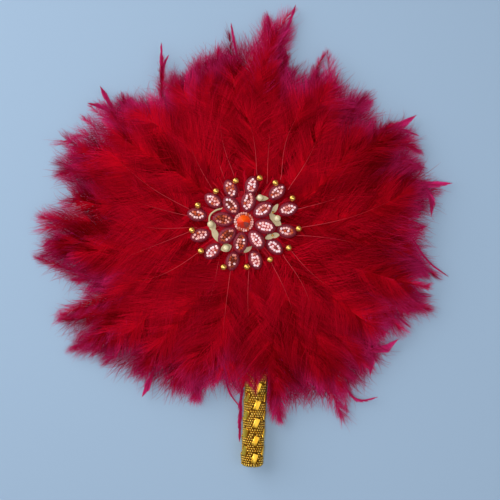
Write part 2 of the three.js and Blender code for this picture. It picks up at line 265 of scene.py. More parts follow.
seed_glass, tree, shader = finish(
    "seed_glass",
    (0.8, 0.4, 0.3),
    0.2,
    Specular_IOR_Level=0.4,
    Coat_Weight=0.1,
    Emission_Strength=0.28,
)
tone, _ = own_map(tree, "JewelTone")
SEED_STOPS = [
    (0, (0.16, 0.012, 0.002)),
    (0.3, (0.62, 0.085, 0.018)),
    (0.6, (1.0, 0.55, 0.53)),
    (1, (1.0, 0.82, 0.89)),
]
glass_and_glow_color = color_ramp(tree, tone, SEED_STOPS)
color_from(tree, shader, glass_and_glow_color)
# The beads also glow a little in their own colour: a painted brightness, since no lamp is in them.
tree.links.new(glass_and_glow_color, shader.inputs["Emission Color"])

tray_foil, tree, shader = finish("tray_foil", (0.3, 0.08, 0.04), 0.6, Specular_IOR_Level=0.15)
tone, _ = own_map(tree, "JewelTone")
TRAY_STOPS = [
    (0, (0.07, 0.004, 0.001)),
    (0.4, (0.17, 0.012, 0.005)),
    (1, (0.50, 0.075, 0.085)),
]
color_by(tree, shader, tone, TRAY_STOPS)

stone_glass_reflections, tree, shader = finish(
    "stone_glass_reflections",
    (0.9, 0.1, 0.01),
    0.12,
    Specular_IOR_Level=0.2,
    Coat_Weight=0.05,
)
tone, _ = own_map(tree, "JewelTone")
# The stone's orange with its painted reflections, from dark facets to yellow flashes.
STONE_REFLECTION_STOPS = [
    (0, (0.20, 0.055, 0.055)),
    (0.35, (0.60, 0.022, 0.008)),
    (0.65, (0.95, 0.042, 0.002)),
    (1, (1.0, 0.110, 0.002)),
]
color_by(tree, shader, tone, STONE_REFLECTION_STOPS)
print("jewel finishes: plum net, seed glass, tray foil, fire glass")

# %% Finishes of the trim
champagne, tree, shader = finish("champagne_satin", (0.5, 0.4, 0.2), 0.4)
weave = object_pattern(tree, "ShaderNodeTexWave", "Fac", (1, 0.4, 1), Scale=500.0, Distortion=3.0)
color_by(tree, shader, weave, [(0, (0.54, 0.42, 0.22)), (1, (0.82, 0.67, 0.42))])
bump(tree, shader, weave, 0.25, 0.0002)

pearl_coat, tree, shader = finish(
    "pearl_coat",
    (0.58, 0.55, 0.30),
    0.25,
    Specular_IOR_Level=0.8,
    Coat_Weight=1,
    Coat_Roughness=0.12,
)
cloud = object_pattern(tree, "ShaderNodeTexNoise", "Fac", Scale=420.0, Detail=3.0)
color_by(tree, shader, cloud, [(0.35, (0.78, 0.66, 0.36)), (0.65, (0.94, 0.84, 0.54))])

gilt, tree, shader = finish("polished_gilt", (0.80, 0.40, 0.08), 0.26, Metallic=1.0)
rub = object_pattern(tree, "ShaderNodeTexNoise", "Fac", Scale=700.0, Detail=4.0)
color_by(tree, shader, rub, [(0.35, (0.95, 0.47, 0.09)), (0.65, (1.0, 0.60, 0.17))])

felt, tree, shader = finish("red_felt", (0.30, 0.0012, 0.008), 0.9, Specular_IOR_Level=0.05)
fuzz = object_pattern(tree, "ShaderNodeTexNoise", "Fac", Scale=900.0, Detail=6.0)
color_by(tree, shader, fuzz, [(0.3, (0.28, 0.003, 0.010)), (0.7, (0.50, 0.010, 0.026))])
bump(tree, shader, fuzz, 0.6, 0.0004)

thread, tree, shader = finish("red_thread", (0.22, 0.002, 0.008), 0.6)
twist = object_pattern(tree, "ShaderNodeTexWave", "Fac", (1, 1, 0.5), Scale=900.0)
color_by(tree, shader, twist, [(0, (0.12, 0.001, 0.004)), (1, (0.30, 0.004, 0.014))])
print("trim finishes: champagne satin, pearl, gilt, felt, thread")

# %% [markdown]
# ## Brooch: the ring bead
#
# Each jewel is covered with small glass beads that lie with their holes up, which is why they read
# as rings with dark middles. A torus is close, and a few dozen faces are enough, since there are
# hundreds. Its top is drawn in a little, so that it is a bead and not a plain ring.

# %% Model the ring bead once
SEED_WIDE = 2.1
SEED_RING, SEED_SECTION = 0.31, 0.19
SEED_FLAT, SEED_UPPER, SEED_DRAWN = 0.9, 0.1, 0.9
deselect()
bpy.ops.mesh.primitive_torus_add(
    major_segments=10,
    minor_segments=5,
    major_radius=SEED_RING * SEED_WIDE * MM,
    minor_radius=SEED_SECTION * SEED_WIDE * MM,
    generate_uvs=False,
)
seed = bpy.context.object
seed.name = "seed_bead"
open_mesh()
bpy.ops.transform.resize(value=(1, 1, SEED_FLAT), center_override=ORIGIN)
pick(seed, lambda place: place.z > SEED_UPPER * SEED_WIDE)
bpy.ops.transform.resize(value=(SEED_DRAWN, SEED_DRAWN, 1), center_override=ORIGIN)
close_mesh()
seed.data.materials.append(seed_glass)
seed.data.shade_smooth()
print("ring bead faces:", len(seed.data.polygons))

# %% [markdown]
# ## Brooch: the oval jewels
#
# A jewel is a stiff, slightly domed oval: a rounded border, a raised crown and a shallow tray that
# holds the ring beads, an oval of them with a short row in the middle. The two rings use two sizes,
# so two ovals are modelled. The places come from the solids: a jewel lies along its bearing from
# the brooch's centre.

# %% Where ring beads go in an oval
OVAL_STEPS = 721


def oval_places(half_width, half_length, count):
    """Points at equal steps along an oval, in mm."""
    t = np.linspace(0, 2 * np.pi, OVAL_STEPS)
    x, y = half_width * np.sin(t), half_length * np.cos(t)
    run = np.concatenate([[0], np.cumsum(np.hypot(np.diff(x), np.diff(y)))])
    t = np.interp(np.arange(count) / count * run[-1], run, t)
    return np.stack([half_width * np.sin(t), half_length * np.cos(t)], axis=1)


print("steps round an oval:", OVAL_STEPS - 1)

# %% How a jewel is built
JEWEL_STEPS = ((0.30, 1.087), (0.34, 0.84), (0.20, 0.80), (-0.10, 0.88))
JEWEL_SIDES, JEWEL_HALF, POINTED = 24, 0.485, 0.16
TRAY_WIDE, TRAY_LONG, TRAY_HIGH, TRAY_FACING = 0.30, 0.37, 0.74, 0.5
SEED_SEAT, SEED_RISE = 0.2, 0.08
SEED_TONES, SEED_ASIDE, SEED_LEAN = 0.26, 0.22, 0.12
centre, _, _ = middle("centre_stone")


def turn_of(place):
    """The bearing of a place from the brooch's centre, in radians."""
    return math.atan2(place.x - centre.x, place.y - centre.y)


def jewel_oval(name, width, length, height):
    """The stiff oval of a jewel, a little pointed, with a foil tray for the ring beads."""
    steps = [(up * height, spread) for up, spread in JEWEL_STEPS]
    oval = grow_cap(name, JEWEL_SIDES, JEWEL_HALF * width, JEWEL_HALF * length, steps, plum_net)
    for vertex in oval.data.vertices:
        vertex.co.x *= 1 + POINTED / 3 - POINTED * (vertex.co.y / (0.5 * length * MM)) ** 2
    round_off(oval, 1)
    oval.data.materials.append(tray_foil)
    for face in oval.data.polygons:
        x, y = face.center.x / (width * MM), face.center.y / (length * MM)
        if face.normal.z > TRAY_FACING and math.hypot(x / TRAY_WIDE, y / TRAY_LONG) < 1:
            face.material_index = 1
    return oval


def set_jewel(master, node, name, rows, pinkness):
    """Put a jewel where its solid is, with its ring beads."""
    place, low, high = middle(node)
    frame_here = at(place.x, place.y, low, turn_of(place))
    tray = (high - low) * TRAY_HIGH
    parts = [stamp(master, frame_here, pinkness)]
    for spots, shade in rows:
        for x, y in spots:
            tone = np.clip(pinkness + shade + rng.normal(0, SEED_TONES), 0, 1)
            x, y = x + rng.normal(0, SEED_ASIDE), y + rng.normal(0, SEED_ASIDE)
            lean = Matrix.Rotation(rng.normal(0, SEED_LEAN), 4, "X")
            lean = lean @ Matrix.Rotation(rng.normal(0, SEED_LEAN), 4, "Y")
            spot = at(x, y, tray + SEED_SEAT * SEED_WIDE + rng.normal(0, SEED_RISE))
            parts.append(stamp(seed, frame_here @ spot @ lean, tone))
    return join_as(name, parts, [node])


print("brooch centre in mm:", round(centre.x, 1), round(centre.y, 1))

# %% Inner jewels
low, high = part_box("inner_navette_01")
INNER_LENGTH, INNER_WIDTH, INNER_HEIGHT = 18.6, 12.4, (high.z - low.z) / MM
INNER_PINK = (0.72, 0.78, 0.97, 0.90, 0.34, 0.28, 0.34, 0.50)
inner_oval = jewel_oval("inner_oval", INNER_WIDTH, INNER_LENGTH, INNER_HEIGHT)
INNER_SEEDS, INNER_OVAL = 12, (0.215, 0.322)
INNER_MIDDLE, INNER_SHADE = [(0, -2.6), (0, 0), (0, 2.6)], -0.25
inner_rows = [
    (oval_places(INNER_OVAL[0] * INNER_WIDTH, INNER_OVAL[1] * INNER_LENGTH, INNER_SEEDS), 0.0),
    (INNER_MIDDLE, INNER_SHADE),
]
for i, pinkness in enumerate(INNER_PINK):
    number = f"{i + 1:02d}"
    set_jewel(inner_oval, f"inner_navette_{number}", f"inner_jewel_{number}", inner_rows, pinkness)
print("inner jewels:", len(INNER_PINK), "faces each:", len(bpy.context.object.data.polygons))

# %% Outer jewels
low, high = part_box("outer_navette_01")
OUTER_LENGTH, OUTER_WIDTH, OUTER_HEIGHT = 17.4, 11.4, (high.z - low.z) / MM
OUTER_PINK = (0.86, 0.58, 0.76, 0.62, 0.90, 0.86, 0.26, 1.0, 0.62, 0.46, 0.80, 0.64)
outer_oval = jewel_oval("outer_oval", OUTER_WIDTH, OUTER_LENGTH, OUTER_HEIGHT)
OUTER_SEEDS, OUTER_OVAL = 11, (0.215, 0.32)
OUTER_MIDDLE, OUTER_SHADE = [(0, -1.6), (0, 1.4)], -0.28
outer_rows = [
    (oval_places(OUTER_OVAL[0] * OUTER_WIDTH, OUTER_OVAL[1] * OUTER_LENGTH, OUTER_SEEDS), 0.0),
    (OUTER_MIDDLE, OUTER_SHADE),
]
for i, pinkness in enumerate(OUTER_PINK):
    number = f"{i + 1:02d}"
    set_jewel(outer_oval, f"outer_navette_{number}", f"outer_jewel_{number}", outer_rows, pinkness)
discard(inner_oval, outer_oval)
print("outer jewels:", len(OUTER_PINK))

# %% [markdown]
# ## Brooch: the centre stone
#
# It is a round stone that comes to a point. The facets are real faces, shaded flat, and each carries
# its own tone, a painted reflection: the upper ones are painted bright, some flashing yellow, and a
# few on the lower right are painted dark. The stone's setting is a low ring with two rows of the same
# ring beads, smaller than in the jewels.

# %% Cut the centre stone
FACETS, REFLECTION_SPREAD, UPPER_FROM = 16, 0.06, 0.6
GIRDLE_HIGH, CROWN_HIGH, PEAK_HIGH, CROWN_WIDE = 0.42, 0.3, 0.28, 0.62
# Facet tones by bearing, and the spread on them, are painted reflections: bright above, dark on the
# lower right.
REFLECTION_BEARINGS = (0, 60, 95, 105, 160, 175, 230, 280, 310, 360)
PAINTED_REFLECTION_TONES = (0.92, 0.72, 0.58, 0.05, 0.08, 0.25, 0.34, 0.55, 1.0, 0.92)
low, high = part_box("centre_stone")
stone_radius = (high.x - low.x) / 2 / MM
stone_height = (high.z - low.z) / MM
centre_low = low.z / MM
stone = grow_cap(
    "centre_facets",
    FACETS,
    stone_radius,
    stone_radius,
    ((GIRDLE_HIGH * stone_height, 1), (CROWN_HIGH * stone_height, CROWN_WIDE)),
    stone_glass_reflections,
)
open_mesh()
pick(stone, lambda place: place.z > UPPER_FROM * stone_height)
bpy.ops.transform.rotate(value=math.pi / FACETS, orient_axis="Z", center_override=ORIGIN)
peak = PEAK_HIGH * stone_height * MM
bpy.ops.mesh.extrude_region_move(TRANSFORM_OT_translate={"value": (0, 0, peak)})
bpy.ops.mesh.merge(type="CENTER")
bpy.ops.mesh.select_all(action="SELECT")
bpy.ops.mesh.quads_convert_to_tris()
close_mesh()
stone.data.shade_flat()
layer = stone.data.uv_layers.new(name="JewelTone")
# Blender may list the facets in another order each run, so they are sorted by place first.
facets = sorted(stone.data.polygons, key=lambda facet: [round(v / MM, 3) for v in facet.center])
for facet in facets:
    bearing = math.degrees(math.atan2(facet.center.x, facet.center.y)) % 360
    tone = np.interp(bearing, REFLECTION_BEARINGS, PAINTED_REFLECTION_TONES) + rng.normal(0, REFLECTION_SPREAD)
    for corner in facet.loop_indices:
        layer.data[corner].uv = (min(max(tone, 0), 1), 0.5)
stone.data.transform(at(centre.x, centre.y, centre_low))
join_as("centre_facets", [stone], ["centre_stone"])
print("centre stone facets:", len(facets))

# %% Set the ring round the centre stone
# A row of beads: how many, how far out of the ring's line, how high, their size and their tone.
RIM_ROWS = ((24, 0, 1.5, 0.88, 0.46), (20, -1.4, 1.8, 0.7, 0.40))
RIM_INSET, RIM_SECTION, RIM_FLAT, RIM_SEAT, RIM_TONES = 0.7, 0.95, 0.3, 0.35, 0.14


def round_centre(reach, turn):
    """A place in mm at a reach and a bearing from the brooch's centre."""
    return centre.x + reach * math.sin(turn), centre.y + reach * math.cos(turn)


low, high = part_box("centre_setting")
rim_radius = (high.x - low.x) / 2 / MM - RIM_INSET
deselect()
bpy.ops.mesh.primitive_torus_add(
    major_segments=36,
    minor_segments=6,
    major_radius=rim_radius * MM,
    minor_radius=RIM_SECTION * MM,
    generate_uvs=False,
)
rim = bpy.context.object
open_mesh()
pick(rim, lambda place: place.z < 0)
bpy.ops.transform.resize(value=(1, 1, RIM_FLAT), center_override=ORIGIN)
close_mesh()
rim.data.materials.append(plum_net)
rim.data.shade_smooth()
rim.data.transform(at(centre.x, centre.y, centre_low + RIM_SEAT))
parts = [rim]
for count, outward, up, size, pinkness in RIM_ROWS:
    for turn in np.linspace(0, 2 * math.pi, count, endpoint=False):
        spot = at(*round_centre(rim_radius + outward, turn), centre_low + up)
        tone = np.clip(pinkness + rng.normal(0, RIM_TONES), 0, 1)
        parts.append(stamp(seed, spot @ Matrix.Scale(size, 4), tone))
join_as("centre_rim", parts, ["centre_setting"])
print("beads round the centre stone:", sum(row[0] for row in RIM_ROWS))

# %% [markdown]
# ## Brooch: champagne leaves
#
# Between the jewels lie small satin leaves, cut to a point at both ends with a fold down the
# middle, and a thin strip that curves round the left. One leaf is modelled from a grid whose rows
# are drawn in to the leaf's outline, then it gets its thickness, and copies are turned and stretched.

# %% Model one leaf
LEAF_ROWS = 8
LEAF_LONG, LEAF_WIDE = 12.0, 6.0
ROW_NEAR, FOLD_NEAR = 0.1, 0.05
LEAF_TIP, LEAF_ROUND, LEAF_FOLD, LEAF_THICK = 0.06, 0.8, 0.4, 0.35
deselect()
bpy.ops.mesh.primitive_grid_add(x_subdivisions=4, y_subdivisions=LEAF_ROWS, size=1)
leaf = bpy.context.object
leaf.name = "satin_leaf"
open_mesh()
bpy.ops.transform.resize(value=(LEAF_WIDE * MM, LEAF_LONG * MM, 1), center_override=ORIGIN)
for row in range(LEAF_ROWS + 1):
    height = LEAF_LONG * (row / LEAF_ROWS - 0.5)
    pick(leaf, lambda place: abs(place.y - height) < ROW_NEAR)
    share = LEAF_TIP + (1 - LEAF_TIP) * math.sin(math.pi * row / LEAF_ROWS) ** LEAF_ROUND
    bpy.ops.transform.resize(value=(share, 1, 1), center_override=ORIGIN)
pick(leaf, lambda place: abs(place.x) < FOLD_NEAR)
bpy.ops.transform.translate(value=(0, 0, -LEAF_FOLD * MM))
close_mesh()
apply_modifier(leaf, "SOLIDIFY", thickness=LEAF_THICK * MM, offset=1)
round_off(leaf, 1)
leaf.data.materials.append(champagne)
print("leaf faces:", len(leaf.data.polygons))

# %% Lay the leaves and the strip
LEAF_SEAT, LEAF_LIFT = 1.2, 0.3
# A leaf: its place from the brooch's centre in mm, its bearing, and how long and wide it is.
LEAVES = [
    (15.6, 20.6, 92, 1.0, 0.85),
    (26.0, 3.4, 318, 0.9, 1.0),
    (28.6, -0.4, 120, 0.75, 1.1),
    (26.6, 11.0, 34, 0.95, 0.75),
    (22.6, -12.8, 250, 0.75, 0.85),
    (27.0, -11.6, 80, 0.75, 0.85),
    (3.6, -23.4, 48, 0.8, 0.75),
    (-15.2, -22.4, 70, 0.85, 1.25),
    (-27.2, -3.6, 170, 0.85, 1.1),
    (-24.6, -10.8, 158, 1.15, 1.0),
]
_, leaf_low, _ = middle("leaf_layer")
parts = []
for x, y, bearing, long, wide in LEAVES:
    height = leaf_low + LEAF_SEAT + rng.uniform(0, LEAF_LIFT)
    spot = at(centre.x + x, centre.y + y, height, math.radians(bearing))
    parts.append(stamp(leaf, spot @ Matrix.Diagonal((wide, long, 1, 1))))

STRIP = [(-29.8, -1.0), (-29.4, 5.2), (-25.0, 9.6), (-17.0, 12.2)]
STRIP_THICK = 0.8
deselect()
bpy.ops.curve.primitive_bezier_curve_add()
strip = bpy.context.object
spline = strip.data.splines[0]
spline.bezier_points.add(len(STRIP) - 2)
for point, (x, y) in zip(spline.bezier_points, STRIP):
    point.co = Vector((centre.x + x, centre.y + y, leaf_low + LEAF_SEAT)) * MM
    point.handle_left_type = point.handle_right_type = "AUTO"
parts.append(thicken(strip, STRIP_THICK, 2, champagne))
join_as("champagne_leaves", parts, ["leaf_layer"])
discard(leaf)
print("leaves:", len(LEAVES), "and a strip")

# %% [markdown]
# ## Brooch: pearls and gold beads
#
# Both are drilled beads. A ball's two poles are pushed in where the hole is, and the holes point
# along the ring, as the thread does. The pearls sit on leaves, the gold beads stand outside the
# jewels, and a short stitch of thread on each side holds a bead down.

# %% Model one drilled bead
BEAD_WIDE, HOLE_FROM, HOLE_DEEP = 6.0, 0.495, 0.72
PEARLS = 4


def drilled_bead(name, material):
    deselect()
    bpy.ops.mesh.primitive_uv_sphere_add(
        segments=18,
        ring_count=11,
        radius=BEAD_WIDE / 2 * MM,
        rotation=(0, math.pi / 2, 0),
        calc_uvs=False,
    )
    bead = bpy.context.object
    bead.name = name
    bpy.ops.object.transform_apply(location=False, rotation=True, scale=False)
    open_mesh()
    pick(bead, lambda place: abs(place.x) > HOLE_FROM * BEAD_WIDE)
    bpy.ops.transform.resize(value=(HOLE_DEEP, 1, 1), center_override=ORIGIN)
    close_mesh()
    bead.data.materials.append(material)
    bead.data.shade_smooth()
    return bead


pearl_bead = drilled_bead("pearl_bead", pearl_coat)
for i in range(PEARLS):
    node = f"pearl_{i + 1:02d}"
    place, low, _ = middle(node)
    pearl = stamp(pearl_bead, at(place.x, place.y, low + BEAD_WIDE / 2, turn_of(place)))
    join_as(f"drilled_{node}", [pearl], [node])
discard(pearl_bead)
print("pearls:", PEARLS)

# %% Model a stitch
STITCH_ENDS, STITCH_RUN, STITCH_FALL = ((2.2, 0.1), (4.0, -2.5)), 0.9, 0.4
STITCH_THICK = 0.22
deselect()
bpy.ops.curve.primitive_bezier_curve_add()
stitch = bpy.context.object
for point, (x, z) in zip(stitch.data.splines[0].bezier_points, STITCH_ENDS):
    point.co = (x * MM, 0, z * MM)
    point.handle_left_type = point.handle_right_type = "FREE"
    point.handle_left = ((x - STITCH_RUN) * MM, 0, (z + STITCH_FALL) * MM)
    point.handle_right = ((x + STITCH_RUN) * MM, 0, (z - STITCH_FALL) * MM)
stitch.data.resolution_u = 6
stitch = thicken(stitch, STITCH_THICK, 1, thread)
print("stitch faces:", len(stitch.data.polygons))

# %% Gold beads with their stitches
GOLD_BEARINGS = (349, 20, 39, 64, 97, 120, 145, 176, 204, 236, 261, 290, 318)
GOLD_REACHES = (36.4, 40.6, 43.6, 47.0, 48.0, 45.0, 39.8, 39.0, 43.0, 45.0, 45.6, 42.4, 36.0)
SPECKS, SPECK_SIZE, SPECK_SEAT = ((25.6, 8.4), (24.9, -11.6)), 0.36, 1.6
_, strand_low, strand_high = middle("gold_bead_strand")
bead_height = (strand_low + strand_high) / 2
gold_bead = drilled_bead("gold_bead", gilt)
parts = []
for bearing, reach in zip(GOLD_BEARINGS, GOLD_REACHES):
    turn = math.radians(bearing)
    spot = at(*round_centre(reach, turn), bead_height, turn)
    parts.append(stamp(gold_bead, spot))
    parts.append(stamp(stitch, spot))
    parts.append(stamp(stitch, spot @ Matrix.Rotation(math.pi, 4, "Z")))
for x, y in SPECKS:
    spot = at(centre.x + x, centre.y + y, leaf_low + SPECK_SEAT)
    parts.append(stamp(gold_bead, spot @ Matrix.Scale(SPECK_SIZE, 4)))
join_as("gold_beads", parts, ["gold_bead_strand"])
discard(gold_bead, stitch)
print("gold beads:", len(GOLD_BEARINGS), "and specks:", len(SPECKS))

# %% [markdown]
# ## Brooch: felt
#
# The jewels are sewn to felt that is cut close round them, so that down shows in the spaces. The
# cut is a filled circle whose edge is moved out under every jewel and bead, then given a thickness
# and a soft edge. A smaller round pad lifts the inner jewels.

# %% Cut the felt
FELT_EDGE, FELT_SWELL = 0.25, 1.012
FELT_MIDDLE, PAD_SHARE, BACKING_SIDES = 27.0, 0.98, 240
UNDER_JEWEL, JEWEL_LOBE = 0.42, 11
UNDER_BEAD, BEAD_LOBE = 1.2, 3.4


def felt_round(reach_at, low, high, sides=144):
    """A felt shape between two heights, with an outline in mm given by bearing in degrees."""
    deselect()
    bpy.ops.mesh.primitive_circle_add(vertices=sides, radius=1, fill_type="NGON")
    piece = bpy.context.object
    for vertex in piece.data.vertices:
        turn = math.atan2(vertex.co.x, vertex.co.y)
        reach = reach_at(math.degrees(turn) % 360) * MM
        vertex.co = (reach * math.sin(turn), reach * math.cos(turn), 0)
    open_mesh()
    edge = FELT_EDGE * (high - low)
    raise_cap(edge, FELT_SWELL)
    raise_cap(high - low - 2 * edge, 1)
    raise_cap(edge, 1 / FELT_SWELL)
    close_mesh()
    piece.data.materials.append(felt)
    piece.data.shade_smooth()
    return piece


def turn_between(a, b):
    """The angle between two bearings in degrees."""
    return abs((a - b + 180) % 360 - 180)


def lobe(bearing, turn, reach, half):
    """How far a lobe of felt reaches at a bearing; half is half its width in degrees."""
    return reach * max(0, 1 - (turn_between(bearing, turn) / half) ** 4)


outer_places = []
for i in range(len(OUTER_PINK)):
    place, _, _ = middle(f"outer_navette_{i + 1:02d}")
    reach = math.hypot(place.x - centre.x, place.y - centre.y)
    outer_places.append((math.degrees(turn_of(place)) % 360, reach + UNDER_JEWEL * OUTER_LENGTH))


def brooch_outline(bearing):
    jewels = [lobe(bearing, turn, reach, JEWEL_LOBE) for turn, reach in outer_places]
    gold = zip(GOLD_BEARINGS, GOLD_REACHES)
    beads = [lobe(bearing, turn, reach + UNDER_BEAD, BEAD_LOBE) for turn, reach in gold]
    return max(FELT_MIDDLE, *jewels, *beads)


_, low, high = middle("brooch_backing")
backing = felt_round(brooch_outline, low, high, BACKING_SIDES)
backing.data.transform(at(centre.x, centre.y, low))
join_as("felt_backing", [backing], ["brooch_backing"])

box_low, box_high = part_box("brooch_pad")
pad_radius = (box_high.x - box_low.x) / 2 / MM
pad = felt_round(lambda bearing: pad_radius * PAD_SHARE, box_low.z / MM, box_high.z / MM)
pad.data.transform(at(centre.x, centre.y, box_low.z / MM))
join_as("felt_pad", [pad], ["brooch_pad"])
print("felt: backing and pad, radius", round(pad_radius, 1))

# %% [markdown]
# ## Handle: the finishes
#
# The handle is wrapped in a strip of jewelled mesh: small gold studs on a dark net, with flat gold
# bars that lean across it. Under the mesh is a plain dowel. The studs and bars are real shapes, so
# the finishes only need the metal's rub marks, the net's dark weave and the grain of the wood.

# %% Finishes of the handle
dark_net, tree, shader = finish("dark_net", (0.10, 0.04, 0.001), 0.7, Specular_IOR_Level=0.1)
weave = object_pattern(tree, "ShaderNodeTexVoronoi", "Distance", Scale=900.0)
color_by(tree, shader, weave, [(0.1, (0.05, 0.017, 0.0004)), (0.7, (0.20, 0.085, 0.002))])

stud_gold, tree, shader = finish("stud_gold", (0.80, 0.52, 0.18), 0.28, Metallic=1.0)
rub = object_pattern(tree, "ShaderNodeTexNoise", "Fac", Scale=260.0, Detail=4.0)
color_by(tree, shader, rub, [(0.3, (0.66, 0.31, 0.010)), (0.7, (1.0, 0.70, 0.15))])

bar_gold, tree, shader = finish("bar_gold", (0.95, 0.58, 0.06), 0.2, Metallic=1.0)
brush = object_pattern(tree, "ShaderNodeTexNoise", "Fac", (1, 0.15, 1), Scale=500.0, Detail=3.0)
color_by(tree, shader, brush, [(0.3, (0.90, 0.46, 0.03)), (0.7, (1.0, 0.66, 0.09))])

wood, tree, shader = finish("dowel_wood", (0.5, 0.32, 0.16), 0.6)
grain = object_pattern(tree, "ShaderNodeTexNoise", "Fac", (1, 0.06, 1), Scale=700.0, Detail=5.0)
color_by(tree, shader, grain, [(0.3, (0.36, 0.21, 0.09)), (0.7, (0.58, 0.39, 0.20))])

card, tree, shader = finish("dyed_card", (0.22, 0.002, 0.008), 0.85, Specular_IOR_Level=0.2)
pulp = object_pattern(tree, "ShaderNodeTexNoise", "Fac", Scale=600.0, Detail=6.0)
color_by(tree, shader, pulp, [(0.3, (0.16, 0.001, 0.005)), (0.7, (0.27, 0.003, 0.011))])
bump(tree, shader, pulp, 0.3, 0.0002)
for node, material in (("handle_dowel", wood), ("back_base_disc", card), ("front_base_disc", card)):
    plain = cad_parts[node].data.materials
    plain.clear()
    plain.append(material)
print("handle finishes: net, studs, bars, wood, card")

# %% [markdown]
# ## Handle: studs and bars
#
# One stud is a low dome of a few faces, because there are over a thousand. They stand in rows
# round the sleeve, every second row shifted by half a step, and leave out the places of the bars.
# The bars lie where the solid has them. Everything is placed on a handle that points straight down,
# and is then turned onto the handle's real line, which leans a little.

# %% Model a stud and a bar
STUD_WIDE, STUD_HIGH, STUD_SIDES = 1.95, 0.85, 8
STUD_STEPS = ((0.45, 0.92), (0.35, 0.72), (0.2, 0.5))
stud_steps = [(up * STUD_HIGH, spread) for up, spread in STUD_STEPS]
stud = grow_cap("stud", STUD_SIDES, STUD_WIDE / 2, STUD_WIDE / 2, stud_steps, stud_gold)
stud.data.shade_smooth()

BAR_WIDE, BAR_LONG, BAR_HIGH, BAR_BEVEL = 4.8, 8.6, 1.3, 0.45
deselect()
bpy.ops.mesh.primitive_cube_add(size=1)
bar = bpy.context.object
bar.name = "bar"
open_mesh()
bar_size = (BAR_WIDE * MM, BAR_LONG * MM, BAR_HIGH * MM)
bpy.ops.transform.resize(value=bar_size, center_override=ORIGIN)
bpy.ops.transform.translate(value=(0, 0, BAR_HIGH / 2 * MM))
close_mesh()
apply_modifier(bar, "BEVEL", width=BAR_BEVEL * MM, segments=3)
bar.data.shade_smooth()
bar.data.materials.append(bar_gold)
print("stud faces:", len(stud.data.polygons), "bar faces:", len(bar.data.polygons))

# %% Where the bars lie
HANDLE_LEAN, HANDLE_SHIFT = math.radians(2.8), 9.7
SLEEVE_TOP, SLEEVE_END = 110.0, 203.1
SLEEVE_RADIUS, BAR_BASE = 9.0, 8.6
BAR_COLUMNS, BAR_ROWS, BAR_TURN, BAR_LEAN = 6, 6, 12, math.radians(18)
BAR_STAGGER, BAR_SPIN, BAR_ROCK, BAR_CLEAR = (0.3, 0.7), 0.03, 0.04, 0.5
box_low, box_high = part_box("handle_end_cap")
axis_height = (box_low.z + box_high.z) / 2 / MM
handle_line = at(HANDLE_SHIFT, 0, axis_height, HANDLE_LEAN)


def on_sleeve(turn, along, radius):
    """A place on the sleeve whose own Z points out of it; turn in radians from the top."""
    return handle_line @ at(0, -along, 0) @ Matrix.Rotation(turn, 4, "Y") @ at(0, 0, radius)


sleeve_length = SLEEVE_END - SLEEVE_TOP
bar_places = []
for column in range(BAR_COLUMNS):
    for row in range(BAR_ROWS):
        turn = math.radians(360 / BAR_COLUMNS * column + BAR_TURN)
        down = row + BAR_STAGGER[column % 2]
        bar_places.append((turn, SLEEVE_END - sleeve_length / BAR_ROWS * down))


def under_bar(turn, along):
    for bar_turn, bar_along in bar_places:
        aside = SLEEVE_RADIUS * ((turn - bar_turn + math.pi) % (2 * math.pi) - math.pi)
        down = along - bar_along
        x = aside * math.cos(BAR_LEAN) + down * math.sin(BAR_LEAN)
        y = -aside * math.sin(BAR_LEAN) + down * math.cos(BAR_LEAN)
        if abs(x) < BAR_WIDE / 2 + BAR_CLEAR and abs(y) < BAR_LONG / 2 + BAR_CLEAR:
            return True
    return False


print("bars:", len(bar_places), "on a sleeve of", round(sleeve_length, 1), "mm")

# %% Wrap the handle
STUD_ROUND, STUD_STEP = 26, 2.0
NET_SIDES, NET_OUT, NET_THICK = 48, 0.15, 1.1
deselect()
bpy.ops.mesh.primitive_cylinder_add(
    vertices=NET_SIDES,
    radius=(SLEEVE_RADIUS + NET_OUT) * MM,
    depth=sleeve_length * MM,
    end_fill_type="NOTHING",
    rotation=(math.pi / 2, 0, 0),
    location=(0, -(SLEEVE_TOP + SLEEVE_END) / 2 * MM, 0),
)
sleeve = bpy.context.object
bpy.ops.object.transform_apply(location=True, rotation=True, scale=True)
apply_modifier(sleeve, "SOLIDIFY", thickness=NET_THICK * MM, offset=-1)
sleeve.data.shade_smooth()
sleeve.data.materials.append(dark_net)
sleeve.data.transform(handle_line)
parts = [sleeve]
rows = int(sleeve_length / STUD_STEP)
for row in range(rows):
    along = SLEEVE_TOP + (row + 0.5) * sleeve_length / rows
    for k in range(STUD_ROUND):
        turn = 2 * math.pi * (k + 0.5 * (row % 2)) / STUD_ROUND
        if not under_bar(turn, along):
            parts.append(stamp(stud, on_sleeve(turn, along, SLEEVE_RADIUS)))
for turn, along in bar_places:
    tilt = Matrix.Rotation(-BAR_LEAN + rng.normal(0, BAR_SPIN), 4, "Z")
    tilt = tilt @ Matrix.Rotation(rng.normal(0, BAR_ROCK), 4, "Y")
    parts.append(stamp(bar, on_sleeve(turn, along, BAR_BASE) @ tilt))
print("studs:", len(parts) - 1 - len(bar_places), "bars:", len(bar_places))
join_as("handle_mesh", parts, ["handle_wrap"])

# %% End of the handle
CAP_DEPTH, CAP_SIDES, CAP_SINK, CAP_OFFSET = 3.6, 32, 0.3, 0.3
CAP_STEPS = ((0.5, 0.94), (0.3, 0.74), (0.14, 0.5))
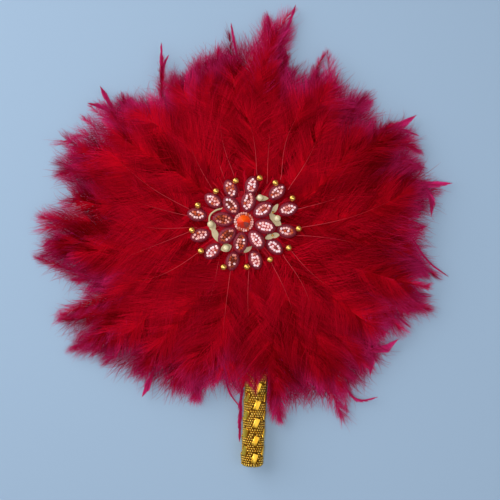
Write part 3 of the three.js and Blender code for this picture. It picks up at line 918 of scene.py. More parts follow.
# A ring of studs: its radius, its depth, how far the studs lean out, and how many they are.
CAP_RINGS = (
    (8.9, 1.2, 75, 25),
    (7.6, 2.4, 45, 20),
    (5.6, 3.1, 20, 14),
    (3.4, 3.3, 8, 9),
    (1.2, 3.4, 0, 3),
)
cap_steps = [(up * CAP_DEPTH, spread) for up, spread in CAP_STEPS]
cap = grow_cap("handle_end", CAP_SIDES, SLEEVE_RADIUS, SLEEVE_RADIUS, cap_steps, dark_net)
cap.data.shade_smooth()
cap_frame = handle_line @ at(0, -SLEEVE_END, 0) @ Matrix.Rotation(math.pi / 2, 4, "X")
cap.data.transform(cap_frame)
parts = [cap]
for radius, depth, lean, count in CAP_RINGS:
    for k in range(count):
        turn = Matrix.Rotation(2 * math.pi * (k + CAP_OFFSET) / count, 4, "Z")
        outward = turn @ at(0, radius, depth - CAP_SINK)
        outward = outward @ Matrix.Rotation(-math.radians(lean), 4, "X")
        parts.append(stamp(stud, cap_frame @ outward))
join_as("handle_end", parts, ["handle_end_cap"])
discard(stud, bar)
print("studs on the end:", len(parts) - 1)

# %% [markdown]
# ## Back cover
#
# The back of the fan is closed with a felt disc. It is sewn down with blanket stitches, short
# thread bars round the rim, which are modelled once and turned round the disc.

# %% Cut and stitch the cover
STITCHES, STITCH_INSET = 72, 3.2
STITCH_HALF, STITCH_STEPS = (0.3, 1.9), ((-0.2, 1), (-0.12, 0.6))
COVER_LOW, COVER_SHARE = 0.35, 0.988
box_low, box_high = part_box("back_cover")
cover_radius = (box_high.x - box_low.x) / 2 / MM
cover = felt_round(lambda bearing: cover_radius * COVER_SHARE, COVER_LOW, box_high.z / MM)
cover.data.transform(at(0, 0, COVER_LOW))
bar_stitch = grow_cap("bar_stitch", 6, *STITCH_HALF, STITCH_STEPS, thread)
bar_stitch.data.shade_smooth()
parts = [cover]
for i in range(STITCHES):
    turn = 2 * math.pi * i / STITCHES
    reach = cover_radius - STITCH_INSET
    spot = at(reach * math.sin(turn), reach * math.cos(turn), COVER_LOW, turn)
    parts.append(stamp(bar_stitch, spot))
join_as("felt_cover", parts, ["back_cover"])
discard(bar_stitch, seed)
print("cover stitches:", STITCHES)

# %% [markdown]
# ## Down of the plumes: the finish
#
# A plume is a quill with soft barbs on both sides. A barb is deep red at its root, painted shade
# where the barbs are packed, and thinner and pinker towards its tip, painted light coming through it,
# with a painted glow at the thinnest ends. The paler tones are also pinker, a painted sheen. Two values
# are stored with every barb: a tone for the whole barb, and how thin it is at each point, which sets
# the painted shade, light and glow.

# %% Finish of barbs and quills
# Deep and pale ramps along the barb: the dark roots are painted shade, the pink tips painted light
# coming through.
DEEP_STOPS = [
    (0, (0.11, 0.0001, 0.0006)),
    (0.4, (0.14, 0.0002, 0.0020)),
    (1, (0.31, 0.0065, 0.0550)),
]
# The pale ramp is pinker than the deep one: a painted sheen on the brighter barbs.
PALE_STOPS = [
    (0, (0.58, 0.0016, 0.0105)),
    (0.4, (0.59, 0.0034, 0.0250)),
    (1, (0.68, 0.0280, 0.2250)),
]
# A painted glow at the thin tips, which stands in for light that comes through them.
GLOW_STOPS = [(0.5, (0, 0, 0)), (1, (0.32, 0.02, 0.12))]

barb_finish, tree, shader = finish(
    "crimson_down",
    PALE_STOPS[0][1],
    0.8,
    Specular_IOR_Level=0.0,
    Emission_Strength=0.3,
)
tone, shade_to_light = own_map(tree, "BarbRun")
blend = add_node(tree, "ShaderNodeMixRGB")
tree.links.new(tone, blend.inputs["Fac"])
tree.links.new(color_ramp(tree, shade_to_light, DEEP_STOPS), blend.inputs["Color1"])
tree.links.new(color_ramp(tree, shade_to_light, PALE_STOPS), blend.inputs["Color2"])
color_from(tree, shader, blend.outputs["Color"])
tree.links.new(color_ramp(tree, shade_to_light, GLOW_STOPS), shader.inputs["Emission Color"])

QUILL_ROOT = (0.66, 0.035, 0.055)
QUILL_TIP = (0.50, 0.0050, 0.0150)

quill_finish, tree, shader = finish("quill_red", QUILL_ROOT, 0.45, Specular_IOR_Level=0.3)
_, run = own_map(tree, "BarbRun")
color_by(tree, shader, run, [(0.2, QUILL_ROOT), (0.75, QUILL_TIP)])
print("down finishes: barbs and quills")

# %% [markdown]
# ## How a plume grows
#
# A hair system looks right in a render, but it is not a mesh and would be lost when the fan leaves
# Blender. Thousands of barbs can't be drawn by hand either, so each barb is a narrow ribbon of
# quads that is computed. Barbs leave the quill at an angle and curve forward, and neighbours draw
# together at their tips into locks, which gives down its soft tufts and clefts. A slow wave and a
# quick one run along the quill, so that barbs near each other have much the same length and lean.

# %% Grow the barbs
BARB_POINTS = 5
LOCK, TUFT = 9, 36
LOCK_PULL, TUFT_PULL = 0.75, 0.5
WAVE_KNOTS, TUFT_KNOTS = 6, 24
ROOT_SIZE, FULL_FROM, CLOSE_FROM, END_FROM = 0.5, 0.4, 0.4, 0.8
LOCK_SIZES, BARB_SIZES, STRAY_SIZES = (0.82, 1.18), (0.65, 1.1), (1.1, 1.6)
POINT, BEYOND_SHARES, END_TURNS, END_CURL = 0.6, (0.3, 1), (0, 1.2), 0.4
WAVE_SIZE, WAVE_TURN, TUFT_TURN, BARB_TURN, BARB_CURL = 0.10, 5, 4, 6, 15
LIFT_SPREAD, WAVE_LIFT, DROOP, DROOP_SPREAD = 0.05, 0.02, 0.10, 0.06
RIPPLE, RIPPLE_RUN = 0.2, 5.0
WAVE_TONE, TUFT_TONE = 0.12, 0.06
BARB_SHADE, TUFT_SHADE, LOCK_SHADE = 0.04, 0.22, 0.04


def smooth_noise(places, knots):
    values = rng.normal(0, 1, knots + 2)
    spot = places * knots
    low = np.clip(spot.astype(int), 0, knots)
    share = spot - low
    share = share * share * (3 - 2 * share)
    return values[low] * (1 - share) + values[low + 1] * share


def draw_together(curve, pull):
    """Draw the tips of each group of barbs towards the middle of the group."""
    groups = curve.reshape(len(pull), -1, BARB_POINTS)
    share = pull.reshape(-1, 1, 1) * np.linspace(0, 1, BARB_POINTS)[None, None, :] ** 2
    return (groups + (groups.mean(axis=1, keepdims=True) - groups) * share).reshape(-1, BARB_POINTS)


def grow_barbs(plume):
    """Return each barb's points along, across and above the quill in mm, and its tone."""
    count = plume["barbs"] // TUFT * TUFT
    total = 2 * count
    length = plume["reach"] - plume["start"]
    sides = np.repeat([-1.0, 1.0], count)
    places = [np.sort(rng.random(count)) ** plume["crowd"] for _ in range(2)]
    waves = np.concatenate([smooth_noise(side, WAVE_KNOTS) for side in places])
    tufts = np.concatenate([smooth_noise(side, TUFT_KNOTS) for side in places])
    places = np.concatenate(places)
    lock_size = np.repeat(rng.uniform(*LOCK_SIZES, total // LOCK), LOCK)
    full = np.sin(np.pi / 2 * np.clip(places / FULL_FROM, 0, 1))
    close = np.clip((places - CLOSE_FROM) / (1 - CLOSE_FROM), 0, 1)
    barb = plume["barb"] * (ROOT_SIZE + (1 - ROOT_SIZE) * full)
    barb = barb * (1 - plume["taper"] * close) * lock_size
    barb = barb * (1 + WAVE_SIZE * waves) * rng.uniform(*BARB_SIZES, total)
    stray = rng.random(total) < plume["stray"]
    barb = barb * np.where(stray, rng.uniform(*STRAY_SIZES, total), 1)
    beyond = plume["beyond"] * rng.uniform(*BEYOND_SHARES, total)
    barb = np.minimum(barb, POINT * (1 - places) * length + beyond)
    angle = np.radians(plume["open"] * (1 - places) + plume["shut"] * places)
    angle = angle * np.where(close > END_FROM, rng.uniform(*END_TURNS, total), 1)
    astray = WAVE_TURN * waves + TUFT_TURN * tufts + rng.normal(0, BARB_TURN, total)
    angle = angle + plume["loose"] * np.radians(astray)
    curl = np.radians(plume["curl"] + plume["loose"] * rng.normal(0, BARB_CURL, total))
    curl = curl * (1 - END_CURL * close)
    lift = rng.normal(plume["lift"], LIFT_SPREAD, total) + WAVE_LIFT * waves
    droop = rng.normal(DROOP, DROOP_SPREAD, total)
    ripple = plume["loose"] * rng.normal(0, RIPPLE, total)
    phase = rng.uniform(0, 2 * np.pi, total)

    run = np.linspace(0, 1, BARB_POINTS)[None, :]
    turn = angle[:, None] - curl[:, None] * run
    turn = turn + ripple[:, None] * np.sin(phase[:, None] + RIPPLE_RUN * run)
    step = barb[:, None] / (BARB_POINTS - 1)
    out = np.cumsum(np.sin(turn) * step, axis=1) - np.sin(turn) * step
    ahead = np.cumsum(np.cos(turn) * step, axis=1) - np.cos(turn) * step
    h = barb[:, None] * (lift[:, None] * run - droop[:, None] * run**2)
    s, u = places[:, None] * length + ahead, sides[:, None] * out
    shade = rng.normal(0, BARB_SHADE, total)
    for group, spread, tightest in ((TUFT, TUFT_SHADE, TUFT_PULL), (LOCK, LOCK_SHADE, LOCK_PULL)):
        pull = rng.uniform(0, tightest * plume["pull"], total // group)
        s, u = draw_together(s, pull), draw_together(u, pull)
        shade = shade + np.repeat(rng.normal(0, spread, total // group), group)
    root = np.broadcast_to(places[:, None] * length, s.shape)
    tone = plume["tone"] + WAVE_TONE * waves + TUFT_TONE * tufts + shade
    return root, u, s - root, h, np.clip(tone, 0, 1)


print("barbs in a lock:", LOCK, "in a tuft:", TUFT, "points in a barb:", BARB_POINTS)

# %% [markdown]
# ## Where a plume lies
#
# The plumes of a ring are glued flat at their roots, rise over the brooch's felt and fall to the
# table at their tips. So a grown plume is laid on its curved quill, and its height comes from its
# ring's height line. In front the down arches over the top of the handle.

# %% Lay a plume on the fan
FLOOR_CLEAR, FLOOR_LIFT = 0.4, 0.3
SOFT_TOP, SOFT_SHARE = 29, 0.35
PAST_TIP = 1.2
GRIP_CLEAR = 1.8


def from_handle(x, y):
    """How far down the handle a place is, and how far aside of the handle's line, in mm."""
    return -y, x - (HANDLE_SHIFT + y * math.sin(HANDLE_LEAN))


def handle_back(x, y):
    """Height of the handle's upper side at a place, and zero beside the handle."""
    down, aside = from_handle(x, y)
    reach = SLEEVE_RADIUS + GRIP_CLEAR
    arch = axis_height + np.sqrt(np.clip(reach**2 - aside**2, 0, None))
    return np.where((np.abs(aside) < reach) & (down > SLEEVE_TOP), arch, 0)


def lay(plume, s, u, ahead, h):
    """Put points of a grown plume on its curved quill and on its ring's height line."""
    length = plume["reach"] - plume["start"]
    bearing = math.radians(plume["bearing"])
    share = np.clip(s / length, 0, PAST_TIP)
    slope = 2 * plume["bend"] * share + plume["sway"] * np.pi * np.cos(np.pi * share)
    slope = np.arctan(slope / length)
    side = plume["bend"] * share**2 + plume["sway"] * np.sin(np.pi * share)
    side = side + u * np.cos(slope) + ahead * np.sin(slope)
    radius = plume["start"] + s + ahead * np.cos(slope) - u * np.sin(slope)
    x = plume["from"][0] + radius * math.sin(bearing) + side * math.cos(bearing)
    y = plume["from"][1] + radius * math.cos(bearing) - side * math.sin(bearing)
    from_brooch = np.hypot(x - centre.x, y - centre.y)
    z = np.interp(from_brooch, *plume["height"]) + plume["rise"] + h + plume["roll"] * u
    z = np.maximum(z, FLOOR_CLEAR + FLOOR_LIFT * np.abs(h))
    z = np.where(z > SOFT_TOP, SOFT_TOP + SOFT_SHARE * (z - SOFT_TOP), z)
    if plume["front"]:
        z = np.maximum(z, handle_back(x, y))
    return np.stack([x, y, z], axis=-1)


print("the handle's back is", round(axis_height + SLEEVE_RADIUS, 1), "mm high")

# %% [markdown]
# ## Trimmed down
#
# A maker trims the down to a ragged round outline and cuts it back where the hand holds the grip.
# In front a tongue of down is left over the top of the grip. Here each barb that passes the
# outline or hides the grip is shortened towards its root.

# %% Trim the barbs
RAG_LOCK, RAG_BARB, RIM_SHORT, LEAST_SHARE = 4, 3, 5, 0.25
GRIP_ASIDE, GRIP_FROM = (-9, -6, -1, 2, 5, 9), (130, 133, 142, 140, 127, 123)
GRIP_BESIDE, GRIP_TRIES, GRIP_RAG, GRIP_SHRINK = 0.9, 6, 2, 0.75
TIP_BOX = ((-198, 178), (-190, 200))


def reach_and_rim(points):
    """How far out points lie, and how far out the fan's outline lies at their bearings."""
    x, y = points[..., 0], points[..., 1]
    return np.hypot(x, y), np.interp(np.degrees(np.arctan2(x, y)), *RIM, period=360)


def inside_rim(points):
    """Shorten the barbs that would pass the fan's outline, each lock a little differently."""
    root = points[:, :1]
    near = np.hypot(root[:, 0, 0], root[:, 0, 1])
    far, rim = reach_and_rim(points[:, -1])
    ragged = np.repeat(rng.normal(0, RAG_LOCK, len(points) // LOCK), LOCK)
    ragged = ragged + rng.normal(0, RAG_BARB, len(points))
    limit = rim - RIM_SHORT + ragged
    share = np.clip((limit - near) / np.maximum(far - near, 1), LEAST_SHARE, 1)
    share = np.where(far > limit, share, 1)
    return root + (points - root) * share[:, None, None]


def clear_of_grip(points, front):
    """Shorten the barbs that would hide the grip; in front they end over its top in a tongue."""
    ragged = rng.normal(0, GRIP_RAG, (len(points), 1))
    for _ in range(GRIP_TRIES):
        down, aside = from_handle(points[..., 0], points[..., 1])
        ends = np.interp(aside, GRIP_ASIDE, GRIP_FROM) + ragged if front else SLEEVE_TOP
        hides = ((np.abs(aside) < SLEEVE_RADIUS + GRIP_BESIDE) & (down > ends)).any(axis=1)
        share = np.where(hides, GRIP_SHRINK, 1)[:, None, None]
        points = points[:, :1] + (points - points[:, :1]) * share
    return points, ~hides


def inside_box(points):
    """Which barbs end inside the box that the fan may fill."""
    x, y = points[:, -1, 0], points[:, -1, 1]
    (left, right), (low, high) = TIP_BOX
    return (x > left) & (x < right) & (y > low) & (y < high)


def barbs_of(plume):
    """The barbs of a plume that stay inside the fan's outline and off the grip."""
    *grown, tone = grow_barbs(plume)
    laid = lay(plume, *grown)
    if plume["trim"]:
        laid = inside_rim(laid)
    laid, shown = clear_of_grip(laid, plume["front"])
    shown &= inside_box(laid)
    return laid[shown], tone[shown], plume


print("the tongue over the grip ends", min(GRIP_FROM), "to", max(GRIP_FROM), "mm down the handle")

# %% [markdown]
# ## From points to a mesh
#
# A plume piece holds one long plume and the shorter ones that lie over it, because they are glued
# together at one root. Its mesh gets two maps: the one that colours the barbs, and a tidy grid in
# which every barb has its own cell, so that the finish can be baked. Down is thinner towards the
# rim, where fewer barbs lie over each other, so less shade and more light is painted there.

# %% Give barbs and quills a width
UPRIGHT_SPREAD, TIP_TAPER, TAPER_POWER, TINY = 0.22, 0.85, 1.2, 1e-9
QUILL_RINGS, QUILL_SIDES, QUILL_ROOT_RUN, QUILL_SHARE, QUILL_END = 18, 6, 4, 0.93, 0.08
PROUD_AT, PROUD_BY = (0, 0.1, 0.6, 1), (0.6, 1, 0.8, -0.5)


def ribbons(points, wide):
    """Give each barb a width that faces up, more or less, and tapers to a fine tip."""
    along = np.gradient(points, axis=1)
    along /= np.linalg.norm(along, axis=2, keepdims=True) + TINY
    tilt = rng.normal(0, UPRIGHT_SPREAD, (len(points), 1, 2))
    up = np.concatenate([tilt, np.ones((len(points), 1, 1))], axis=2)
    across = np.cross(along, np.broadcast_to(up, along.shape))
    across /= np.linalg.norm(across, axis=2, keepdims=True) + TINY
    run = np.linspace(0, 1, points.shape[1])
    half = wide / 2 * (1 - TIP_TAPER * run**TAPER_POWER)
    offset = across * half[None, :, None]
    return np.stack([points - offset, points + offset], axis=2)


def grow_quill(plume):
    """A thin six-sided tube along the plume's own line."""
    length = plume["reach"] - plume["start"]
    s = np.linspace(-QUILL_ROOT_RUN, length * QUILL_SHARE, QUILL_RINGS)
    zero = np.zeros_like(s)
    spine = lay(plume, s, zero, zero, plume["proud"] * np.interp(s / length, PROUD_AT, PROUD_BY))
    radius = np.linspace(plume["quill"], QUILL_END, len(s))
    ring = np.linspace(0, 2 * np.pi, QUILL_SIDES, endpoint=False)
    bearing = math.radians(plume["bearing"])
    across = np.array([math.cos(bearing), -math.sin(bearing), 0])
    up = np.array([0, 0, 1])
    circle = np.cos(ring)[:, None] * across + np.sin(ring)[:, None] * up
    return spine[:, None, :] + radius[:, None, None] * circle[None]


def grid_faces(rows, columns, closed):
    wrap = columns if closed else columns - 1
    r, c = np.meshgrid(np.arange(rows - 1), np.arange(wrap), indexing="ij")
    here, below = r * columns, (r + 1) * columns
    after = (c + 1) % columns
    quads = np.stack([here + c, here + after, below + after, below + c], axis=-1)
    return quads.reshape(-1, 4)


print("quads in a barb:", len(grid_faces(BARB_POINTS, 2, False)))

# %% Build a plume piece
THIN_INSIDE, THIN_RUN, THIN_ROOT = 45, 52, 0.35
BARB_SLOT, QUILL_SLOT = 0, 1
CELL_EDGE, CELL_SHARE = 0.1, 0.8


def barb_block(laid, tone, plume):
    """The points, quads, colours, cells, finish and number of strips of a plume's barbs."""
    far, rim = reach_and_rim(laid)
    thin = np.clip((far - rim + THIN_INSIDE) / THIN_RUN, 0, 1)
    thin = np.repeat(thin.ravel(), 2)
    ribbon = ribbons(laid, plume["wide"])
    barbs, points = ribbon.shape[:2]
    first = np.arange(barbs) * points * 2
    quads = grid_faces(points, 2, False)[None] + first[:, None, None]
    run = np.tile(np.repeat(np.linspace(0, 1, points), 2), barbs)
    # Painted shade at each barb's packed root gives way to painted light at its thin tip, and to more
    # light near the rim.
    haze = run + THIN_ROOT * thin * (1 - run)
    haze = haze * (plume["haze"] + (1 - plume["haze"]) * thin)
    haze = plume["veil"] + (1 - plume["veil"]) * haze
    colors = np.stack([np.repeat(tone, points * 2), haze], axis=1)
    strip = np.repeat(np.arange(barbs), points * 2)
    cells = np.stack([strip, np.tile([0.0, 1.0], points * barbs), run], axis=1)
    return ribbon.reshape(-1, 3), quads.reshape(-1, 4), colors, cells, BARB_SLOT, barbs


def quill_block(plume):
    """The same for a plume's quill, which is one strip."""
    tube = grow_quill(plume)
    rows, around = tube.shape[:2]
    run = np.repeat(np.linspace(0, 1, rows), around)
    colors = np.stack([np.full(rows * around, 0.5), run], axis=1)
    aside = np.tile(np.linspace(0, 1, around), rows)
    cells = np.stack([np.zeros(rows * around), aside, run], axis=1)
    return tube.reshape(-1, 3), grid_faces(rows, around, True), colors, cells, QUILL_SLOT, 1


def plume_piece(name, plumes, fringe):
    """One mesh with the barbs and quills of some plumes, and its two maps."""
    barbs = [barbs_of(plume) for plume in plumes] + [fringe]
    blocks = [barb_block(*entry) for entry in barbs] + [quill_block(plume) for plume in plumes]
    verts, quads, colors, cells, slots = [], [], [], [], []
    base = strips = 0
    for points, faces, run, cell, slot, count in blocks:
        verts.append(points)
        quads.append(faces + base)
        colors.append(run)
        cells.append(cell + [strips, 0, 0])
        slots.append(np.full(len(faces), slot))
        base += len(points)
        strips += count
    verts = np.concatenate(verts) * MM
    quads = np.concatenate(quads)
    cells = np.concatenate(cells)
    columns = math.ceil(math.sqrt(strips))
    place = np.stack([cells[:, 0] % columns, cells[:, 0] // columns], axis=1)
    bake_map = (place + CELL_EDGE + CELL_SHARE * cells[:, 1:]) / columns

    mesh = bpy.data.meshes.new(name)
    mesh.vertices.add(len(verts))
    mesh.vertices.foreach_set("co", verts.ravel())
    mesh.loops.add(quads.size)
    mesh.loops.foreach_set("vertex_index", quads.ravel())
    mesh.polygons.add(len(quads))
    mesh.polygons.foreach_set("loop_start", np.arange(0, quads.size, 4))
    mesh.polygons.foreach_set("material_index", np.concatenate(slots))
    mesh.polygons.foreach_set("use_smooth", np.ones(len(quads), bool))
    mesh.update(calc_edges=True)
    for map_name, values in (("BarbRun", np.concatenate(colors)), ("OFBake", bake_map)):
        layer = mesh.uv_layers.new(name=map_name)
        layer.data.foreach_set("uv", values[quads.ravel()].ravel())
    mesh.materials.append(barb_finish)
    mesh.materials.append(quill_finish)
    piece = bpy.data.objects.new(name, mesh)
    bpy.context.collection.objects.link(piece)
    return piece


print("a piece has the finishes:", barb_finish.name, "and", quill_finish.name)

# %% [markdown]
# ## Rings of plumes
#
# The solids hold twelve long plumes in front and twelve behind. Each is replaced by a piece with
# that long plume and some shorter ones beside and above it, so that no gap shows between the rings.
# A layer has its own height line, a list of distances from the brooch's centre with their heights,
# and its own range of tones; the lower layers are darker, painted shade of the layers over them.
# The tones swing a little with the bearing, painted light and shade on the fan's sides, and are
# painted paler round the grip, where the down slopes away from the lamps.

# %% How one plume differs from the next
RING = 12
BACK_SPACE = 7.93
BACK_START = 46
BROOCH_EDGE = 27
# Tones swing with the bearing, by a share for each layer, and rise round the grip: painted light and
# shade.
PAINTED_LIGHT_BEARING = 100
PAINTED_LIGHT_SWING = {"back": -0.08, "front": -0.05, "crown": 0.06, "top": 0.22}
GRIP_BEARING, GRIP_SPREAD, GRIP_PAINTED_LIGHT = 168, 45, 0.16
# Each layer's range of tones: the lower layers are darker, painted shade of the layers over them.
LAYERS = {
    "back": ([20, 75, 110, 150, 200], [4.1, 4.3, 6.5, 4, 1.5], (0.1, 0.4)),
    "front": ([20, 40, 60, 85, 112, 165, 200], [16.2, 16.8, 20.5, 23.5, 23.5, 11.5, 4], (0.2, 0.65)),
    "crown": ([20, 40, 55, 78, 110, 145, 200], [16.4, 17.2, 20.5, 24.2, 24.5, 18, 8], (0.2, 0.75)),
    "top": ([20, 38, 52, 75, 110, 145, 200], [16.6, 17.8, 21, 25, 25.2, 19.5, 10], (0.3, 0.8)),
}


def plume_values(bearing, reach, layer, **changes):
    """A plume of a layer: it starts at the brooch's edge unless changes say where."""
    turn = math.radians(bearing)
    start = BROOCH_EDGE + centre.x * math.sin(turn) + centre.y * math.cos(turn)
    *height, tones = LAYERS[layer]
    swing = PAINTED_LIGHT_SWING[layer] * math.cos(math.radians(bearing - PAINTED_LIGHT_BEARING))
    by_grip = max(0, 1 - turn_between(bearing, GRIP_BEARING) / GRIP_SPREAD)
    values = {
        "bearing": bearing,
        "from": (0, 0),
        "start": BACK_START if layer == "back" else start,
        "reach": reach,
        "height": height,
        "front": layer != "back",
        "trim": True,
        "rise": rng.normal(0, 0.5),
        "lift": 0.05,
        "loose": 1,
        "pull": 0.85,
        "stray": 0.12,
        "beyond": 60,
        "crowd": 0.85,
        "veil": 0,
        "roll": rng.normal(0, 0.03),
        "bend": rng.normal(0, 11),
        "sway": rng.normal(0, 3),
        "barb": 46 * rng.uniform(0.88, 1.12),
        "taper": 0.5,
        "open": rng.uniform(46, 60),
        "shut": rng.uniform(28, 44),
        "curl": rng.normal(24, 18),
        "barbs": 576,
        "wide": 0.42,
        "quill": 0.2,
        "proud": -0.5,
        "tone": rng.uniform(*tones) - swing + GRIP_PAINTED_LIGHT * by_grip,
        "haze": rng.uniform(0.25, 0.5),
    }
    values.update(changes)
    return values


def along_arc(base, between, tip):
    """The line of a plume that runs in an arc through three places in mm."""
    base, between, tip = (np.array(place, float) for place in (base, between, tip))
    reach = np.linalg.norm(tip - base)
    ahead = (tip - base) / reach
    share = np.dot(between - base, ahead) / reach
    aside = np.dot(between - base, (ahead[1], -ahead[0]))
    return {
        "bearing": math.degrees(math.atan2(*ahead)),
        "from": tuple(base),
        "start": 0,
        "reach": reach,
        "bend": 0,
        "sway": aside / math.sin(math.pi * share),
    }


print("layers:", ", ".join(LAYERS))

# %% [markdown]
# ## The outline and its long plumes
#
# The outline of the real fan is uneven, with a lobe where a plume ends and a cleft between two of
# them. Both are lists of bearings in degrees and reaches in mm. Every lobe gets a long plume,
# which goes to the piece whose solid lies nearest.

# %% Long plumes
OUTLINE = [
    (358, 166), (7, 188), (17, 150), (27, 160), (38, 152), (47, 150), (55, 164), (61, 165),
    (72, 166), (82, 160), (92, 152), (102, 160), (113, 168), (122, 158), (133, 158), (143, 166),
    (151, 172), (160, 160), (169, 158), (178, 150), (188, 146), (200, 156), (210, 162), (219, 167),
    (228, 175), (236, 186), (244, 188), (256, 174), (263, 186), (271, 187), (279, 172), (287, 182),
    (295, 180), (303, 172), (312, 171), (321, 152), (330, 160), (338, 156), (347, 160),
]
CLEFTS = [
    (12, 147), (19, 145), (33, 150), (43, 148), (50, 147), (66, 151), (87, 150), (97, 151),
    (108, 148), (127, 149), (163, 158), (174, 162), (184, 148), (192, 134), (197, 148), (252, 150),
    (259, 180), (283, 163), (307, 165), (318, 155), (325, 149), (336, 150), (343, 160), (352, 163),
]
RIM = tuple(zip(*sorted(OUTLINE + CLEFTS)))
LOBE_SHORT = 15
back_pitch = (360 - 2 * BACK_SPACE) / RING
front_bearings = [360 / RING * i for i in range(RING)]
back_bearings = [(180 + BACK_SPACE + back_pitch * (i + 0.5)) % 360 for i in range(RING)]
homes = {("front", i): bearing for i, bearing in enumerate(front_bearings)}
homes |= {("back", i): bearing for i, bearing in enumerate(back_bearings)}
families = {home: [] for home in homes}


def home_of(bearing, rings=("front", "back")):
    """The plume of the solids that lies nearest to a bearing."""
    near = [home for home in homes if home[0] in rings]
    return min(near, key=lambda home: turn_between(homes[home], bearing))


for bearing, reach in OUTLINE:
    home = home_of(bearing)
    families[home].append(plume_values(bearing, reach - LOBE_SHORT, home[0]))
print("long plumes:", len(OUTLINE), "reach in mm:", min(RIM[1]), "to", max(RIM[1]))

# %% [markdown]
# ## Wisps and blades
#
# A few thin wisps stand past the outline. Blades are narrow plumes whose barbs lie close to the
# quill, so that they end in a point; a maker gets them by stroking the barbs together. A blade is
# laid through three places, its root, a place between and its tip, because its curve shows.

# %% Wisps
# A wisp: its bearing, its reach, how far it bends aside and how long its barbs are.
WISPS = [
    (2, 200, 24, 24), (3, 190, 2, 22), (352, 182, 4, 16), (21, 176, 3, 12), (39, 160, 2, 24),
    (77, 172, 0, 20), (99, 172, 12, 20), (108, 166, 8, 22), (121, 162, 6, 22), (153, 188, 4, 22),
    (171, 172, 2, 22), (262, 194, 4, 22), (246, 192, 0, 22), (237, 194, -2, 22), (296, 190, 0, 24),
    (289, 188, 2, 24), (310, 178, 0, 20), (228, 180, 0, 22), (271, 190, 0, 24),
]
WISP_START, WISP_SHORT = 105, 10
WISP_SHAPE = {"taper": 0.3, "open": 44, "shut": 24, "curl": 14, "barbs": 144, "wide": 0.3, "quill": 0.1}
WISP_SHAPE |= {"start": WISP_START, "sway": 0, "haze": 1, "veil": 0.15, "trim": False}
for bearing, reach, bend, barb in WISPS:
    home = home_of(bearing)
    wisp = plume_values(bearing, reach - WISP_SHORT, home[0], bend=bend, barb=barb, **WISP_SHAPE)
    families[home].append(wisp)
print("wisps:", len(WISPS))

# %% Blades
# A blade: three places in mm, then its width, its height and its tone.
BLADES = [
    ((-79, 124), (-79.6, 146), (-80, 165), 3.4, 12, 0.3),
    ((-79, 130), (-77.5, 144), (-73.5, 154), 2.6, 12, 0.2),
    ((-120, 103), (-127.5, 116), (-133.7, 126.9), 4.4, 12, 0.0),
    ((-118, 101), (-132, 108), (-144.4, 112.1), 3.8, 12, 0.0),
    ((-12, 148), (-16.5, 168), (-18.7, 182), 2.4, 13, 0.3),
    ((24, 166), (32, 182), (38, 198.5), 2.8, 13, 0.2),
    ((104, 86), (128, 93), (144, 101.5), 8.0, 13, 0.6),
    ((122, 91), (135, 87.5), (146, 83.4), 2.0, 12, 0.4),
    ((136, 42), (160, 41), (175.5, 41.9), 6.0, 12, 0.7),
    ((148, 44), (156, 27), (157, 13), 5.0, 11, 0.2),
    ((140, -6), (157, -29), (172, -40), 2.0, 11, 0.3),
    ((132, -49), (147, -57), (156.8, -57.6), 1.6, 10, 0.1),
    ((122, -68), (131, -78), (139, -85), 2.0, 10, 0.1),
    ((96, -106), (113, -103), (128.5, -95), 10.0, 11, 0.6),
    ((102, -98), (103.5, -113), (103.6, -127), 8.6, 10, 0.5),
    ((80, -134), (93, -148), (110, -146.3), 2.6, 10, 0.4),
    ((-24, -118), (-18, -145), (-10.5, -155.5), 1.8, 8, 0.3),
    ((-8.5, -136), (-10.8, -163), (-11.4, -186), 3.6, 3, 0.1),
    ((-86, -122), (-92, -136), (-97, -146), 7.0, 11, 0.6),
    ((-168, -5), (-178, -10), (-184.6, -13.8), 2.2, 10, 0.1),
]
BLADE_BARB, BLADE_FALL, BLADE_TIP = 2.6, (0, 140, 200), 0.5
BLADE_SHAPE = {"taper": 0.5, "open": 13, "shut": 8, "curl": 4, "loose": 0.2, "stray": 0, "pull": 0.3}
BLADE_SHAPE |= {"lift": 0, "beyond": 0.5, "barbs": 288, "wide": 0.5, "veil": 0.5, "quill": 0.2}
BLADE_SHAPE |= {"rise": 0, "roll": 0, "trim": False}


def bearing_of(place):
    return math.degrees(math.atan2(*place)) % 360


for base, between, tip, wide, height, tone in BLADES:
    home = home_of(bearing_of(between))
    line = along_arc(base, between, tip)
    line["height"] = (BLADE_FALL, (height, height, BLADE_TIP * height))
    blade = plume_values(layer=home[0], barb=BLADE_BARB * wide, tone=tone, **line, **BLADE_SHAPE)
    families[home].append(blade)
print("pointed blades:", len(BLADES))

# %% [markdown]
# ## Tufts
#
# Soft tufts fill the lobes of the outline. They are short, open plumes with fine barbs, and the
# sheer ones have so few barbs that the sheet shows through. They are laid as the blades are.

